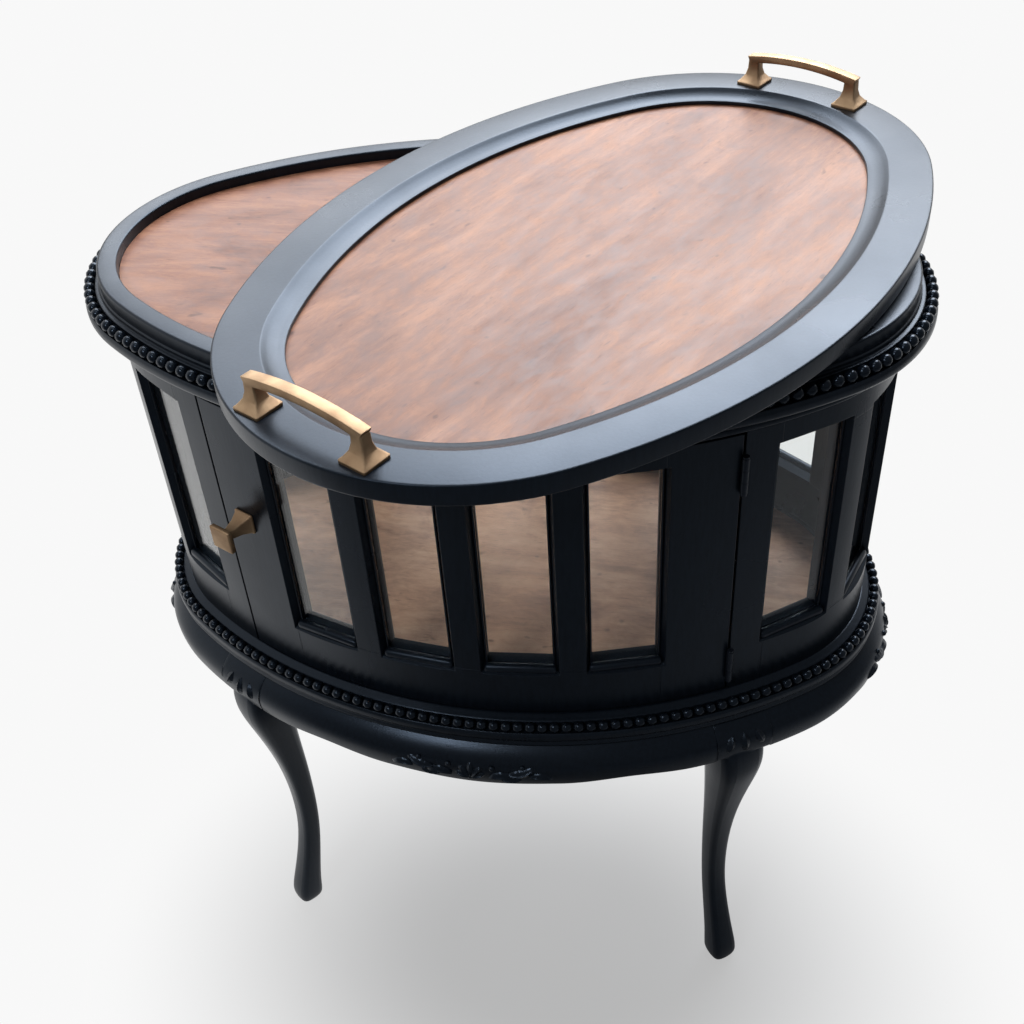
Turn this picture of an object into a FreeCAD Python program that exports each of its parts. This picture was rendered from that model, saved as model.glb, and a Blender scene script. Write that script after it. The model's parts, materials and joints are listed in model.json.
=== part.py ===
import FreeCAD, Part
import math
import os
from FreeCAD import Rotation, Vector

os.makedirs("parts", exist_ok=True)

# Driving sizes in millimetres. X is the long axis, the door faces -Y, Z is up.
RIM_HALF_LENGTH = 360.0
RIM_HALF_WIDTH = 225.0
RIM_END_RADIUS = 154.0
RIM_TOP = 790.0
RIM_HEIGHT = 20.0
RIM_WIDTH = 18.0
RIM_COVE_HEIGHT = 9.5
TOP_RECESS = 10.0

# The top moulding under the rim, with its lip and the seat of the beads
MOULDING_HEIGHT = 25.0
LIP_REACH = 16.4
LIP_THICKNESS = 12.0
BEAD_RADIUS = 5.3
BEAD_MARGIN = 0.6
FRIEZE_HEIGHT = 15.0

# The wall of frames and panes
WALL_SETBACK = 7.0
WALL_THICKNESS = 24.0
WALL_FOOT = 433.0
BOTTOM_RAIL = 54.0
TOP_RAIL = 25.0
DOOR_STILE = 62.7
DOOR_GAP = 2.4
DOOR_CLEARANCE = 2.0
POST_WIDTH = 32.9
SIDE_PITCH = 95.0
SIDE_MULLION = 31.5
SIDE_PANES = 4
END_PANES = 4
END_MULLION = 30.0
GLASS_THICKNESS = 3.0
GLASS_SETBACK = 9.0
GROOVE_DEPTH = 4.0
GROOVE_FIT = 0.3
SURROUND_BEVEL = 4.5

# The base moulding, floor, apron and legs
BASE_HEIGHT = 30.0
BASE_LIP_REACH = 11.5
BASE_LIP_DROP = 10.0
BASE_BEAD_RADIUS = 4.9
BASE_SLOPE = 3.0
BASE_INNER = 50.0
FLOOR_THICKNESS = 12.0
FLOOR_EDGE = 36.0
APRON_BELLY = 22.0
APRON_DROP = 47.0
APRON_THICKNESS = 24.0
LEG_SPREAD = 251.4
LEG_TURN = math.radians(10.0)
LEG_BLOCK_WIDTH = 54.0
LEG_BLOCK_DEPTH = 52.0
LEG_BLOCK_RAISE = 8.0
LEG_CORNER = 0.14
KNEE_DROP = 10.0
FOOT_HEIGHT = 34.0
APRON_SPARE = 14.0
APRON_EDGE_RAISE = 6.0

# Waves of the apron's lower edge: distance from its middle, height over its level
LONG_WAVES = ((210.0, 2.0), (150.0, 7.0), (85.0, 1.0), (0.0, -3.0))
SHORT_WAVES = ((150.0, 2.0), (95.0, 8.0), (45.0, -6.0), (0.0, -16.0))

# The lift-off tray, which lies askew on the rim
TRAY_HALF_LENGTH = 369.0
TRAY_HALF_WIDTH = 245.0
TRAY_END_RADIUS = 201.0
TRAY_HEIGHT = 19.0
TRAY_BORDER = 38.0
TRAY_FLANK = 18.0
TRAY_PANEL = 4.2
TRAY_UNDERSIDE = 3.8
TRAY_STEP = 2.0
TRAY_REBATE = 5.0
TRAY_LEDGE = 4.0
TRAY_REST_GAP = 0.4
TRAY_SHIFT = 92.0
TRAY_TURN = 61.8
HANDLE_PITCH = 106.0
HANDLE_RISE = 33.0
HANDLE_BACK = 27.0
HANDLE_BAR = 10.0
HANDLE_OVERHANG = 6.5
HANDLE_BOW = 6.0
HANDLE_DEPTH = 6.5
HANDLE_PLATE = 26.0
BOLT_RADIUS = 2.0
BOLT_BITE = 10.0
BOLT_PLAY = 0.2

# Brass door furniture
KNOB_INSET = 26.9
KNOB_HEIGHT = 603.0
KNOB_REACH = 32.0
HINGE_HEIGHT = 36.0
HINGE_BARREL = 3.2
HINGE_PIN = 1.5
HINGE_RUN = 0.05
HINGE_STAND = 3.6
HINGE_INSET = 18.0
LEAF_GAP = 0.6
LEAF_FIT = 0.1
KNUCKLE_GAP = 0.2
PIN_HEAD = 2.0
SCREW_RADIUS = 1.3
SCREW_LENGTH = 13.0
SCREW_INSET = 9.0
SCREW_SPREAD = 11.0
STOP_DEPTH = 9.0
STOP_RELIEF = 0.5
STOP_HOLD_WIDTH = 13.0
STOP_LAP_WIDTH = 11.0

UP = Vector(0, 0, 1)


class Oval:
    """Four tangent arcs; every offset of it keeps the same four centres."""

    def __init__(self, half_length, half_width, end_radius):
        self.end_radius = end_radius
        self.end_centre = half_length - end_radius
        reach = half_width - end_radius
        self.side_centre = (self.end_centre ** 2 - reach ** 2) / (2.0 * reach)
        self.side_radius = half_width + self.side_centre
        self.join = math.atan2(self.end_centre, self.side_centre)

    def arc(self, angle):
        turn = angle % (2.0 * math.pi)
        if turn < self.join or turn > 2.0 * math.pi - self.join:
            return Vector(0, self.side_centre, 0), self.side_radius
        if turn < math.pi - self.join:
            return Vector(self.end_centre, 0, 0), self.end_radius
        if turn < math.pi + self.join:
            return Vector(0, -self.side_centre, 0), self.side_radius
        return Vector(-self.end_centre, 0, 0), self.end_radius

    def point(self, angle, offset, height=0.0, within=None):
        centre, radius = self.arc(angle if within is None else within)
        reach = radius + offset
        return centre + Vector(reach * math.sin(angle), -reach * math.cos(angle), height)

    def breaks(self, start, stop):
        marks = []
        for turn in range(-2, 5):
            for edge in (turn * math.pi - self.join, turn * math.pi + self.join):
                if start + 1e-9 < edge < stop - 1e-9:
                    marks.append(edge)
        return [start] + sorted(marks) + [stop]

    def travel(self, start, length, offset):
        """The angle reached after a length along the oval from a start angle."""
        marks = self.breaks(start, start + 4.0)
        left = length
        for first, last in zip(marks, marks[1:]):
            radius = self.arc((first + last) / 2.0)[1] + offset
            if left <= radius * (last - first):
                return first + left / radius
            left -= radius * (last - first)
        return marks[-1]

    def sweep(self, section, start=-math.pi / 2, stop=1.5 * math.pi):
        """Carry a closed (offset, height) section along the oval."""
        marks = self.breaks(start, stop)
        pieces = []
        for first, last in zip(marks, marks[1:]):
            middle = (first + last) / 2.0
            corners = [self.point(first, off, high, middle) for off, high in section]
            face = Part.Face(Part.makePolygon(corners + corners[:1]))
            centre = self.arc(middle)[0]
            pieces.append(face.revolve(centre, UP, math.degrees(last - first)))
        solid = pieces[0]
        if len(pieces) > 1:
            solid = solid.multiFuse(pieces[1:])
        return solid.removeSplitter()

    def disc(self, offset, low, high):
        edges = []
        marks = self.breaks(-self.join, 2.0 * math.pi - self.join)
        for first, last in zip(marks, marks[1:]):
            middle = (first + last) / 2.0
            stops = [self.point(turn, offset, low, middle) for turn in (first, middle, last)]
            edges.append(Part.Arc(*stops).toShape())
        return Part.Face(Part.Wire(edges)).extrude(UP * (high - low))


BODY = Oval(RIM_HALF_LENGTH, RIM_HALF_WIDTH, RIM_END_RADIUS)
TRAY = Oval(TRAY_HALF_LENGTH, TRAY_HALF_WIDTH, TRAY_END_RADIUS)

# Heights and offsets that follow from the sizes above
RIM_FOOT = RIM_TOP - RIM_HEIGHT
MOULDING_FOOT = RIM_FOOT - MOULDING_HEIGHT
FRIEZE_FOOT = MOULDING_FOOT - FRIEZE_HEIGHT
BASE_FOOT = WALL_FOOT - BASE_HEIGHT
BASE_LIP_TOP = WALL_FOOT - BASE_LIP_DROP
APRON_FOOT = BASE_FOOT - APRON_DROP
FACE = -WALL_SETBACK
INNER = FACE - WALL_THICKNESS
GLASS = FACE - GLASS_SETBACK
SIGHT_LOW = WALL_FOOT + BOTTOM_RAIL
SIGHT_HIGH = FRIEZE_FOOT - TOP_RAIL
DOOR_LOW = WALL_FOOT + DOOR_CLEARANCE
DOOR_HIGH = FRIEZE_FOOT - DOOR_CLEARANCE
FACE_RADIUS = BODY.side_radius + FACE
DOOR_HALF_WIDTH = (SIDE_PANES * SIDE_PITCH - SIDE_MULLION) / 2.0 + DOOR_STILE
DOOR_HALF_ANGLE = BODY.travel(0.0, DOOR_HALF_WIDTH, FACE)
HINGE_ANGLE = BODY.travel(0.0, DOOR_HALF_WIDTH + DOOR_GAP / 2.0, FACE)
POST_ANGLE = BODY.travel(0.0, DOOR_HALF_WIDTH + DOOR_GAP, FACE)
POST_EDGE_ANGLE = BODY.travel(0.0, DOOR_HALF_WIDTH + DOOR_GAP + POST_WIDTH, FACE)
KNOB_ANGLE = -BODY.travel(0.0, DOOR_HALF_WIDTH - KNOB_INSET, FACE)
LEAF_FAR = DOOR_GAP / 2.0 - LEAF_FIT
LEG_ANGLE = BODY.travel(0.0, LEG_SPREAD, 0.0)
LEG_INSIDE = BODY.travel(0.0, LEG_SPREAD - LEG_BLOCK_WIDTH / 2.0, 0.0)
LEG_OUTSIDE = BODY.travel(0.0, LEG_SPREAD + LEG_BLOCK_WIDTH / 2.0, 0.0)
LEG_SPOTS = {
    "front_left": (-LEG_OUTSIDE, -LEG_ANGLE, -LEG_INSIDE),
    "front_right": (LEG_INSIDE, LEG_ANGLE, LEG_OUTSIDE),
    "back_right": (math.pi - LEG_OUTSIDE, math.pi - LEG_ANGLE, math.pi - LEG_INSIDE),
    "back_left": (math.pi + LEG_INSIDE, math.pi + LEG_ANGLE, math.pi + LEG_OUTSIDE),
}


def save(name, shape):
    shape.exportStep("parts/" + name + ".step")


def box(low, high):
    size = [b - a for a, b in zip(low, high)]
    return Part.makeBox(size[0], size[1], size[2], Vector(*low))


def rod(radius, low, high):
    along = Vector(*high) - Vector(*low)
    return Part.makeCylinder(radius, along.Length, Vector(*low), along)


def square(half_x, half_y, centre, height, cut):
    """A level square outline with cut corners."""
    x, y = centre
    corners = []
    for sx, sy, flip in ((1, -1, 0), (1, 1, 1), (-1, 1, 0), (-1, -1, 1)):
        first = Vector(x + sx * half_x, y + sy * (half_y - cut), height)
        second = Vector(x + sx * (half_x - cut), y + sy * half_y, height)
        corners += [first, second] if flip else [second, first]
    return Part.makePolygon(corners + corners[:1])


def stack(rings):
    """A flat-faced solid through outlines with matching, parallel sides."""
    faces = [Part.Face(rings[0]), Part.Face(rings[-1])]
    for lower, upper in zip(rings, rings[1:]):
        feet = [vertex.Point for vertex in lower.OrderedVertexes]
        heads = [vertex.Point for vertex in upper.OrderedVertexes]
        for count in range(len(feet)):
            after = (count + 1) % len(feet)
            corners = [feet[count], feet[after], heads[after], heads[count]]
            faces.append(Part.Face(Part.makePolygon(corners + corners[:1])))
    return Part.makeSolid(Part.makeShell(faces)).removeSplitter()


def seat(shape, angle, offset, height):
    """Set a shape with -Y outward at an angle and offset of the body."""
    turn = Rotation(UP, math.degrees(angle))
    shape.Placement = FreeCAD.Placement(BODY.point(angle, offset, height), turn)
    return shape


def wall(start, stop, low, high):
    return BODY.sweep([(INNER, low), (FACE, low), (FACE, high), (INNER, high)], start, stop)


def pane_frame(first, last):
    """The chord of a pane: its two ends, its direction and its outward side."""
    begin = BODY.point(first, GLASS)
    end = BODY.point(last, GLASS)
    along = (end - begin).normalize()
    return begin, end, along, Vector(along.y, -along.x, 0)


def slab(first, last, grow, thick_grow):
    begin, end, along, out = pane_frame(first, last)
    low = SIGHT_LOW - GROOVE_DEPTH - grow
    high = SIGHT_HIGH + GROOVE_DEPTH + grow
    begin = begin - along * (GROOVE_DEPTH + grow) + out * thick_grow
    end = end + along * (GROOVE_DEPTH + grow) + out * thick_grow
    inward = out * -(GLASS_THICKNESS + 2.0 * thick_grow)
    ring = [begin, end, end + inward, begin + inward]
    ring = [corner + UP * low for corner in ring]
    return Part.Face(Part.makePolygon(ring + ring[:1])).extrude(UP * (high - low))


def pane(first, last):
    return slab(first, last, 0.0, 0.0)


def window(first, last):
    """What a pane takes out of the members round it: a groove and a bevel."""
    begin, end, along, out = pane_frame(first, last)
    reach = GLASS_SETBACK + 6.0
    spread = SURROUND_BEVEL * reach / GLASS_SETBACK
    rings = []
    for grow, step in ((0.0, 0.0), (spread, reach)):
        low = UP * (SIGHT_LOW - grow)
        high = UP * (SIGHT_HIGH + grow)
        left = begin - along * grow + out * step
        right = end + along * grow + out * step
        corners = [left + low, right + low, right + high, left + high]
        rings.append(Part.makePolygon(corners + corners[:1]))
    bevel = stack(rings)
    return bevel.fuse(slab(first, last, GROOVE_FIT, GROOVE_FIT))


def side_panes(middle):
    """Sight angles of the panes on a long side, about its middle angle."""
    spans = []
    half_mullion = SIDE_MULLION / 2.0
    for count in range(SIDE_PANES):
        start = (count - SIDE_PANES / 2.0) * SIDE_PITCH
        left = middle + (start + half_mullion) / FACE_RADIUS
        right = middle + (start + SIDE_PITCH - half_mullion) / FACE_RADIUS
        spans.append((left, right))
    return spans


def end_panes(start, stop):
    """Sight angles of the panes round an end, even along the curve."""
    marks = BODY.breaks(start, stop)
    total = 0.0
    for first, last in zip(marks, marks[1:]):
        total += (BODY.arc((first + last) / 2.0)[1] + FACE) * (last - first)
    width = (total - (END_PANES - 1) * END_MULLION) / END_PANES
    spans = []
    for count in range(END_PANES):
        left = count * (width + END_MULLION)
        spans.append((BODY.travel(start, left, FACE), BODY.travel(start, left + width, FACE)))
    return spans


def between(spans):
    return [(left[1], right[0]) for left, right in zip(spans, spans[1:])]


FRONT = side_panes(0.0)
BACK = side_panes(math.pi)
RIGHT = end_panes(POST_EDGE_ANGLE, math.pi - POST_EDGE_ANGLE)
LEFT = end_panes(math.pi + POST_EDGE_ANGLE, 2.0 * math.pi - POST_EDGE_ANGLE)
CUTS = {}
for group, spans in (("front", FRONT), ("back", BACK), ("right", RIGHT), ("left", LEFT)):
    CUTS[group] = [window(first, last) for first, last in spans]


def belly(face, low, depth):
    """A bellied section: a share of its height and how far its face is set back there."""
    rise = BASE_FOOT - low
    back = APRON_BELLY - depth
    section = [(APRON_BELLY - inset, low + share * rise) for share, inset in face]
    return [(back, low)] + section + [(back, BASE_FOOT)]


def legs():
    """Cabriole legs: a square block in the apron, a knee, an ankle and a pad foot."""
    low = APRON_FOOT + LEG_BLOCK_RAISE
    knee = APRON_FOOT - KNEE_DROP
    bends = (
        (1.0, 1.0, 23.6),
        (0.853, -4.0, 19.0),
        (0.712, -11.0, 14.5),
        (0.551, -16.5, 11.4),
        (0.375, -17.5, 10.0),
        (0.244, -14.5, 10.0),
        (0.115, -6.0, 11.4),
        (0.0, 3.0, 13.4),
    )
    profile = [(low + KNEE_DROP, -4.0, 23.0)]
    profile += [(FOOT_HEIGHT + share * (knee - FOOT_HEIGHT), out, half) for share, out, half in bends]
    profile += [(0.3 * FOOT_HEIGHT, 7.0, 14.4), (0.0, 7.0, 12.6)]
    face = ((0.0, 2.4), (0.2, 0.7), (0.36, 0.0), (0.667, 3.0), (0.87, 10.0), (1.0, 15.0))
    block = belly(face, low, LEG_BLOCK_DEPTH)
    for spot, (start, angle, stop) in LEG_SPOTS.items():
        rings = [square(half, half, (0.0, -out), high, half * LEG_CORNER) for high, out, half in profile]
        shaft = Part.makeLoft(rings, True, False)
        outward = math.copysign(LEG_TURN, math.tan(angle))
        shaft.rotate(Vector(0, 0, 0), UP, math.degrees(angle + outward))
        shaft.translate(BODY.point(angle, 0.0))
        head = BODY.sweep(block, start, stop)
        save("leg_" + spot, head.fuse(shaft).removeSplitter())


def wave_line(waves):
    """The lower edge from end to end: the given half of it and its mirror image."""
    level = APRON_FOOT + APRON_EDGE_RAISE
    half = [(-along, level + rise) for along, rise in waves]
    half = [(-RIM_HALF_LENGTH - 3.0 * APRON_BELLY, level)] + half
    return half + [(-along, high) for along, high in half[-2::-1]]


def below(line, across):
    """A prism under a smooth level-ish line, to shape an apron's lower edge."""
    curve = Part.BSplineCurve()
    curve.interpolate([Vector(along, 0, high) for along, high in line])
    first, last = line[0], line[-1]
    floor = APRON_FOOT - 4.0 * APRON_SPARE
    sides = Part.makePolygon([
        Vector(last[0], 0, last[1]),
        Vector(last[0], 0, floor),
        Vector(first[0], 0, floor),
        Vector(first[0], 0, first[1]),
    ])
    face = Part.Face(Part.Wire([curve.toShape()] + sides.Edges))
    reach = 2.0 * RIM_HALF_LENGTH
    prism = face.extrude(Vector(0, 2.0 * reach, 0))
    prism.translate(Vector(0, -reach, 0))
    prism.rotate(Vector(0, 0, 0), UP, across)
    return prism


def aprons():
    """Bellied rails between the leg blocks, with a shaped lower edge."""
    face = ((0.0, 9.0), (0.26, 4.0), (0.46, 0.8), (0.62, 0.0), (0.787, 3.0), (0.918, 10.0), (1.0, 15.0))
    section = belly(face, APRON_FOOT - APRON_SPARE, APRON_THICKNESS)
    along_x = below(wave_line(LONG_WAVES), 0.0)
    along_y = below(wave_line(SHORT_WAVES), 90.0)
    save("apron_front", BODY.sweep(section, -LEG_INSIDE, LEG_INSIDE).cut(along_x))
    save("apron_back", BODY.sweep(section, math.pi - LEG_INSIDE, math.pi + LEG_INSIDE).cut(along_x))
    save("apron_right", BODY.sweep(section, LEG_OUTSIDE, math.pi - LEG_OUTSIDE).cut(along_y))
    left = BODY.sweep(section, math.pi + LEG_OUTSIDE, 2.0 * math.pi - LEG_OUTSIDE)
    save("apron_left", left.cut(along_y))


def base():
    """The beaded base moulding and the mahogany floor let into it."""
    step = BASE_LIP_REACH - BEAD_MARGIN - 2.0 * BASE_BEAD_RADIUS
    ledge = WALL_FOOT - FLOOR_THICKNESS
    section = [
        (-BASE_INNER, BASE_FOOT),
        (BASE_LIP_REACH - 4.0, BASE_FOOT),
        (BASE_LIP_REACH - 1.0, BASE_FOOT + 4.0),
        (BASE_LIP_REACH - 2.5, BASE_FOOT + 9.0),
        (BASE_LIP_REACH, BASE_FOOT + 12.0),
        (BASE_LIP_REACH, BASE_LIP_TOP - 2.0),
        (BASE_LIP_REACH - 2.0, BASE_LIP_TOP),
        (step, BASE_LIP_TOP),
        (step, WALL_FOOT - BASE_SLOPE),
        (FACE, WALL_FOOT),
        (-FLOOR_EDGE, WALL_FOOT),
        (-FLOOR_EDGE, ledge),
        (-BASE_INNER, ledge),
    ]
    save("base_moulding", BODY.sweep(section))
    save("base_bead_strip", bead_strip(step, BASE_LIP_TOP, BASE_BEAD_RADIUS))
    save("floor_panel", BODY.disc(-FLOOR_EDGE - GROOVE_FIT, ledge, WALL_FOOT))


def bead_strip(back, foot, radius):
    """A rounded strip that stands on a ledge, just clear of the step behind it."""
    corners = []
    for count in range(12):
        turn = math.radians(30.0 * count)
        across = back + 0.05 + radius + radius * math.cos(turn)
        corners.append((across, foot + radius + radius * math.sin(turn)))
    return BODY.sweep(corners)


def top():
    """The frieze, the beaded moulding, the rim and the panel let into the rim."""
    save("frieze_ring", BODY.sweep([
        (INNER, FRIEZE_FOOT),
        (FACE, FRIEZE_FOOT),
        (FACE + 1.5, FRIEZE_FOOT + 1.5),
        (FACE + 1.5, FRIEZE_FOOT + 5.0),
        (FACE, FRIEZE_FOOT + 6.5),
        (FACE, MOULDING_FOOT),
        (INNER, MOULDING_FOOT),
    ]))
    lip_top = MOULDING_FOOT + 7.0 + LIP_THICKNESS
    neck = LIP_REACH - BEAD_MARGIN - 2.0 * BEAD_RADIUS
    save("top_moulding", BODY.sweep([
        (INNER, MOULDING_FOOT),
        (FACE + 2.0, MOULDING_FOOT),
        (FACE + 4.0, MOULDING_FOOT + 3.0),
        (FACE + 9.0, MOULDING_FOOT + 5.5),
        (LIP_REACH - 4.0, MOULDING_FOOT + 6.5),
        (LIP_REACH, MOULDING_FOOT + 10.0),
        (LIP_REACH, lip_top - 3.0),
        (LIP_REACH - 3.0, lip_top),
        (neck, lip_top),
        (neck, RIM_FOOT),
        (INNER, RIM_FOOT),
    ]))
    save("top_bead_strip", bead_strip(neck, lip_top, BEAD_RADIUS))
    cove = ((1.0, 0.25), (0.62, 0.42), (0.34, 0.68), (0.22, 1.0))
    hollow = [(across * neck, RIM_FOOT + up * RIM_COVE_HEIGHT) for across, up in cove]
    save("rim_ring", BODY.sweep([(-RIM_WIDTH, RIM_FOOT), (neck, RIM_FOOT)] + hollow + [
        (0.0, RIM_FOOT + RIM_COVE_HEIGHT),
        (0.0, RIM_TOP - 1.5),
        (-1.5, RIM_TOP),
        (1.0 - RIM_WIDTH, RIM_TOP),
        (-RIM_WIDTH, RIM_TOP - 1.0),
    ]))
    save("top_panel", BODY.disc(-RIM_WIDTH - GROOVE_FIT, RIM_FOOT, RIM_TOP - TOP_RECESS))


def joint_screws(side):
    """Where the hinge screws lie in the joint frame: side is 1 on the post, -1 on the door."""
    screws = []
    near = LEAF_GAP / 2.0
    head_depth = (near + LEAF_FAR) / 2.0
    for high in (-SCREW_SPREAD, SCREW_SPREAD):
        begin = (side * near, SCREW_INSET, high)
        shank = rod(SCREW_RADIUS, begin, (side * SCREW_LENGTH, SCREW_INSET, high))
        head = rod(2.0 * SCREW_RADIUS, begin, (side * head_depth, SCREW_INSET, high))
        screws.append(shank.fuse(head))
    return screws


def hinge_leaf(side):
    """A leaf beside the joint with its own knuckles: the post's two, the door's one."""
    half = HINGE_HEIGHT / 2.0
    third = HINGE_HEIGHT / 6.0
    near, far = sorted((side * LEAF_GAP / 2.0, side * LEAF_FAR))
    edge = HINGE_BARREL + 2.0 * KNUCKLE_GAP - HINGE_STAND
    leaf = box((near, edge, -half), (far, HINGE_INSET, half))
    spans = [(KNUCKLE_GAP - third, third - KNUCKLE_GAP)]
    if side > 0:
        spans = [(-half, -third - KNUCKLE_GAP), (third + KNUCKLE_GAP, half)]
    for low, high in spans:
        leaf = leaf.fuse(box((near, -HINGE_STAND, low), (far, edge + 1.0, high)))
        leaf = leaf.fuse(rod(HINGE_BARREL, (0, -HINGE_STAND, low), (0, -HINGE_STAND, high)))
    bore = rod(HINGE_PIN + HINGE_RUN, (0, -HINGE_STAND, -half - 1.0), (0, -HINGE_STAND, half + 1.0))
    leaf = leaf.cut(bore)
    for screw in joint_screws(side):
        leaf = leaf.cut(screw)
    return leaf.removeSplitter()


def hinge_pin():
    half = HINGE_HEIGHT / 2.0
    wide = HINGE_BARREL - 2.0 * KNUCKLE_GAP
    top_low = half + KNUCKLE_GAP
    shaft = rod(HINGE_PIN, (0, -HINGE_STAND, -half), (0, -HINGE_STAND, top_low))
    cap = rod(wide, (0, -HINGE_STAND, top_low), (0, -HINGE_STAND, half + PIN_HEAD))
    foot = rod(wide, (0, -HINGE_STAND, -half - PIN_HEAD), (0, -HINGE_STAND, -half))
    return shaft.fuse([cap, foot])


HINGE_SPOTS = {
    "bottom": SIGHT_LOW - HINGE_HEIGHT / 2.0 - 1.0,
    "top": SIGHT_HIGH + 2.0 - HINGE_HEIGHT / 2.0,
}


def hinges():
    post_screws = []
    door_screws = []
    for spot, high in HINGE_SPOTS.items():
        save("hinge_post_leaf_" + spot, seat(hinge_leaf(1), HINGE_ANGLE, FACE, high))
        save("hinge_door_leaf_" + spot, seat(hinge_leaf(-1), HINGE_ANGLE, FACE, high))
        save("hinge_pin_" + spot, seat(hinge_pin(), HINGE_ANGLE, FACE, high))
        post_screws += [seat(screw, HINGE_ANGLE, FACE, high) for screw in joint_screws(1)]
        door_screws += [seat(screw, HINGE_ANGLE, FACE, high) for screw in joint_screws(-1)]
    save("hinge_post_screws", Part.makeCompound(post_screws))
    save("hinge_door_screws", Part.makeCompound(door_screws))
    return post_screws, door_screws


def fixed_walls(post_screws):
    """Posts, rails, mullions and panes of the two ends and the back."""
    spots = {
        "front_right": (POST_ANGLE, POST_EDGE_ANGLE, "right"),
        "back_right": (math.pi - POST_EDGE_ANGLE, math.pi - POST_ANGLE, "right"),
        "back_left": (math.pi + POST_ANGLE, math.pi + POST_EDGE_ANGLE, "left"),
        "front_left": (2.0 * math.pi - POST_EDGE_ANGLE, 2.0 * math.pi - POST_ANGLE, "left"),
    }
    for spot, (start, stop, group) in spots.items():
        post = wall(start, stop, WALL_FOOT, FRIEZE_FOOT).cut(CUTS[group])
        if spot == "front_right":
            post = post.cut(post_screws)
        save("post_" + spot, post)
    runs = (
        ("right_end", RIGHT, "right", POST_EDGE_ANGLE, math.pi - POST_EDGE_ANGLE),
        ("left_end", LEFT, "left", math.pi + POST_EDGE_ANGLE, 2.0 * math.pi - POST_EDGE_ANGLE),
        ("back", BACK, "back", math.pi - POST_ANGLE, math.pi + POST_ANGLE),
    )
    for name, spans, group, start, stop in runs:
        save(name + "_bottom_rail", wall(start, stop, WALL_FOOT, SIGHT_LOW).cut(CUTS[group]))
        save(name + "_top_rail", wall(start, stop, SIGHT_HIGH, FRIEZE_FOOT).cut(CUTS[group]))
        uprights = between(spans)
        if name == "back":
            uprights = [(start, spans[0][0])] + uprights + [(spans[-1][1], stop)]
        bars = [wall(first, last, SIGHT_LOW, SIGHT_HIGH).cut(CUTS[group]) for first, last in uprights]
        save(name + "_mullions", Part.makeCompound(bars))
        save(name + "_panes", Part.makeCompound([pane(first, last) for first, last in spans]))


def door_stop():
    """A strip on the front left post that the closed door rests against."""
    inside = BODY.side_radius + INNER
    start = -POST_ANGLE - STOP_HOLD_WIDTH / inside
    middle = -POST_ANGLE - STOP_RELIEF / inside
    stop = -DOOR_HALF_ANGLE + STOP_LAP_WIDTH / inside
    rear = INNER - STOP_DEPTH
    pieces = []
    for face, first, last in ((INNER, start, middle), (INNER - STOP_RELIEF, middle, stop)):
        corners = [(rear, WALL_FOOT), (face, WALL_FOOT), (face, FRIEZE_FOOT), (rear, FRIEZE_FOOT)]
        pieces.append(BODY.sweep(corners, first, last))
    save("door_stop", pieces[0].fuse(pieces[1]).removeSplitter())


def knob_screw():
    """From inside the door, through the stile, into the knob."""
    head = rod(1.8 * BOLT_RADIUS, (0, WALL_THICKNESS, 0), (0, WALL_THICKNESS + BOLT_RADIUS, 0))
    shank = rod(BOLT_RADIUS, (0, -BOLT_BITE, 0), (0, WALL_THICKNESS, 0))
    return head.fuse(shank)


def knob():
    """A thin square face on a square neck, which flares towards the door."""
    steps = (
        (0.0, 10.5, 1.0),
        (0.06, 10.5, 1.0),
        (0.1, 9.2, 1.0),
        (0.36, 6.3, 1.0),
        (0.72, 4.3, 1.0),
        (0.8, 5.0, 1.0),
        (0.84, 11.6, 1.0),
        (0.96, 12.0, 1.0),
        (1.0, 11.0, 1.0),
    )
    rings = []
    for share, half, cut in steps:
        rings.append(square(half, half, (0.0, 0.0), share * KNOB_REACH, cut))
    shape = stack(rings)
    shape.rotate(Vector(0, 0, 0), Vector(1, 0, 0), 90.0)
    return shape.cut(rod(BOLT_RADIUS, (0, BOLT_PLAY, 0), (0, -BOLT_BITE, 0)))


def door(door_screws):
    """The glazed front door: stiles, rails, mullions, panes and its knob."""
    inner_edge = FRONT[-1][1]
    screw = seat(knob_screw(), KNOB_ANGLE, FACE, KNOB_HEIGHT)
    lock = wall(-DOOR_HALF_ANGLE, -inner_edge, DOOR_LOW, DOOR_HIGH).cut(CUTS["front"])
    save("door_lock_stile", lock.cut(screw))
    hinge = wall(inner_edge, DOOR_HALF_ANGLE, DOOR_LOW, DOOR_HIGH).cut(CUTS["front"])
    save("door_hinge_stile", hinge.cut(door_screws))
    save("door_bottom_rail", wall(-inner_edge, inner_edge, DOOR_LOW, SIGHT_LOW).cut(CUTS["front"]))
    save("door_top_rail", wall(-inner_edge, inner_edge, SIGHT_HIGH, DOOR_HIGH).cut(CUTS["front"]))
    places = ("left", "middle", "right")
    for place, (first, last) in zip(places, between(FRONT)):
        save("door_mullion_" + place, wall(first, last, SIGHT_LOW, SIGHT_HIGH).cut(CUTS["front"]))
    for count, (first, last) in enumerate(FRONT):
        save("door_pane_%d" % (count + 1), pane(first, last))
    save("door_knob", seat(knob(), KNOB_ANGLE, FACE, KNOB_HEIGHT))
    save("door_knob_screw", screw)


def lay(shape):
    """Lay a piece of the tray, made about its own middle, on the rim."""
    shape.rotate(Vector(0, 0, 0), UP, TRAY_TURN)
    shape.translate(Vector(TRAY_SHIFT, 0, RIM_TOP + TRAY_REST_GAP))
    return shape


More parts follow.
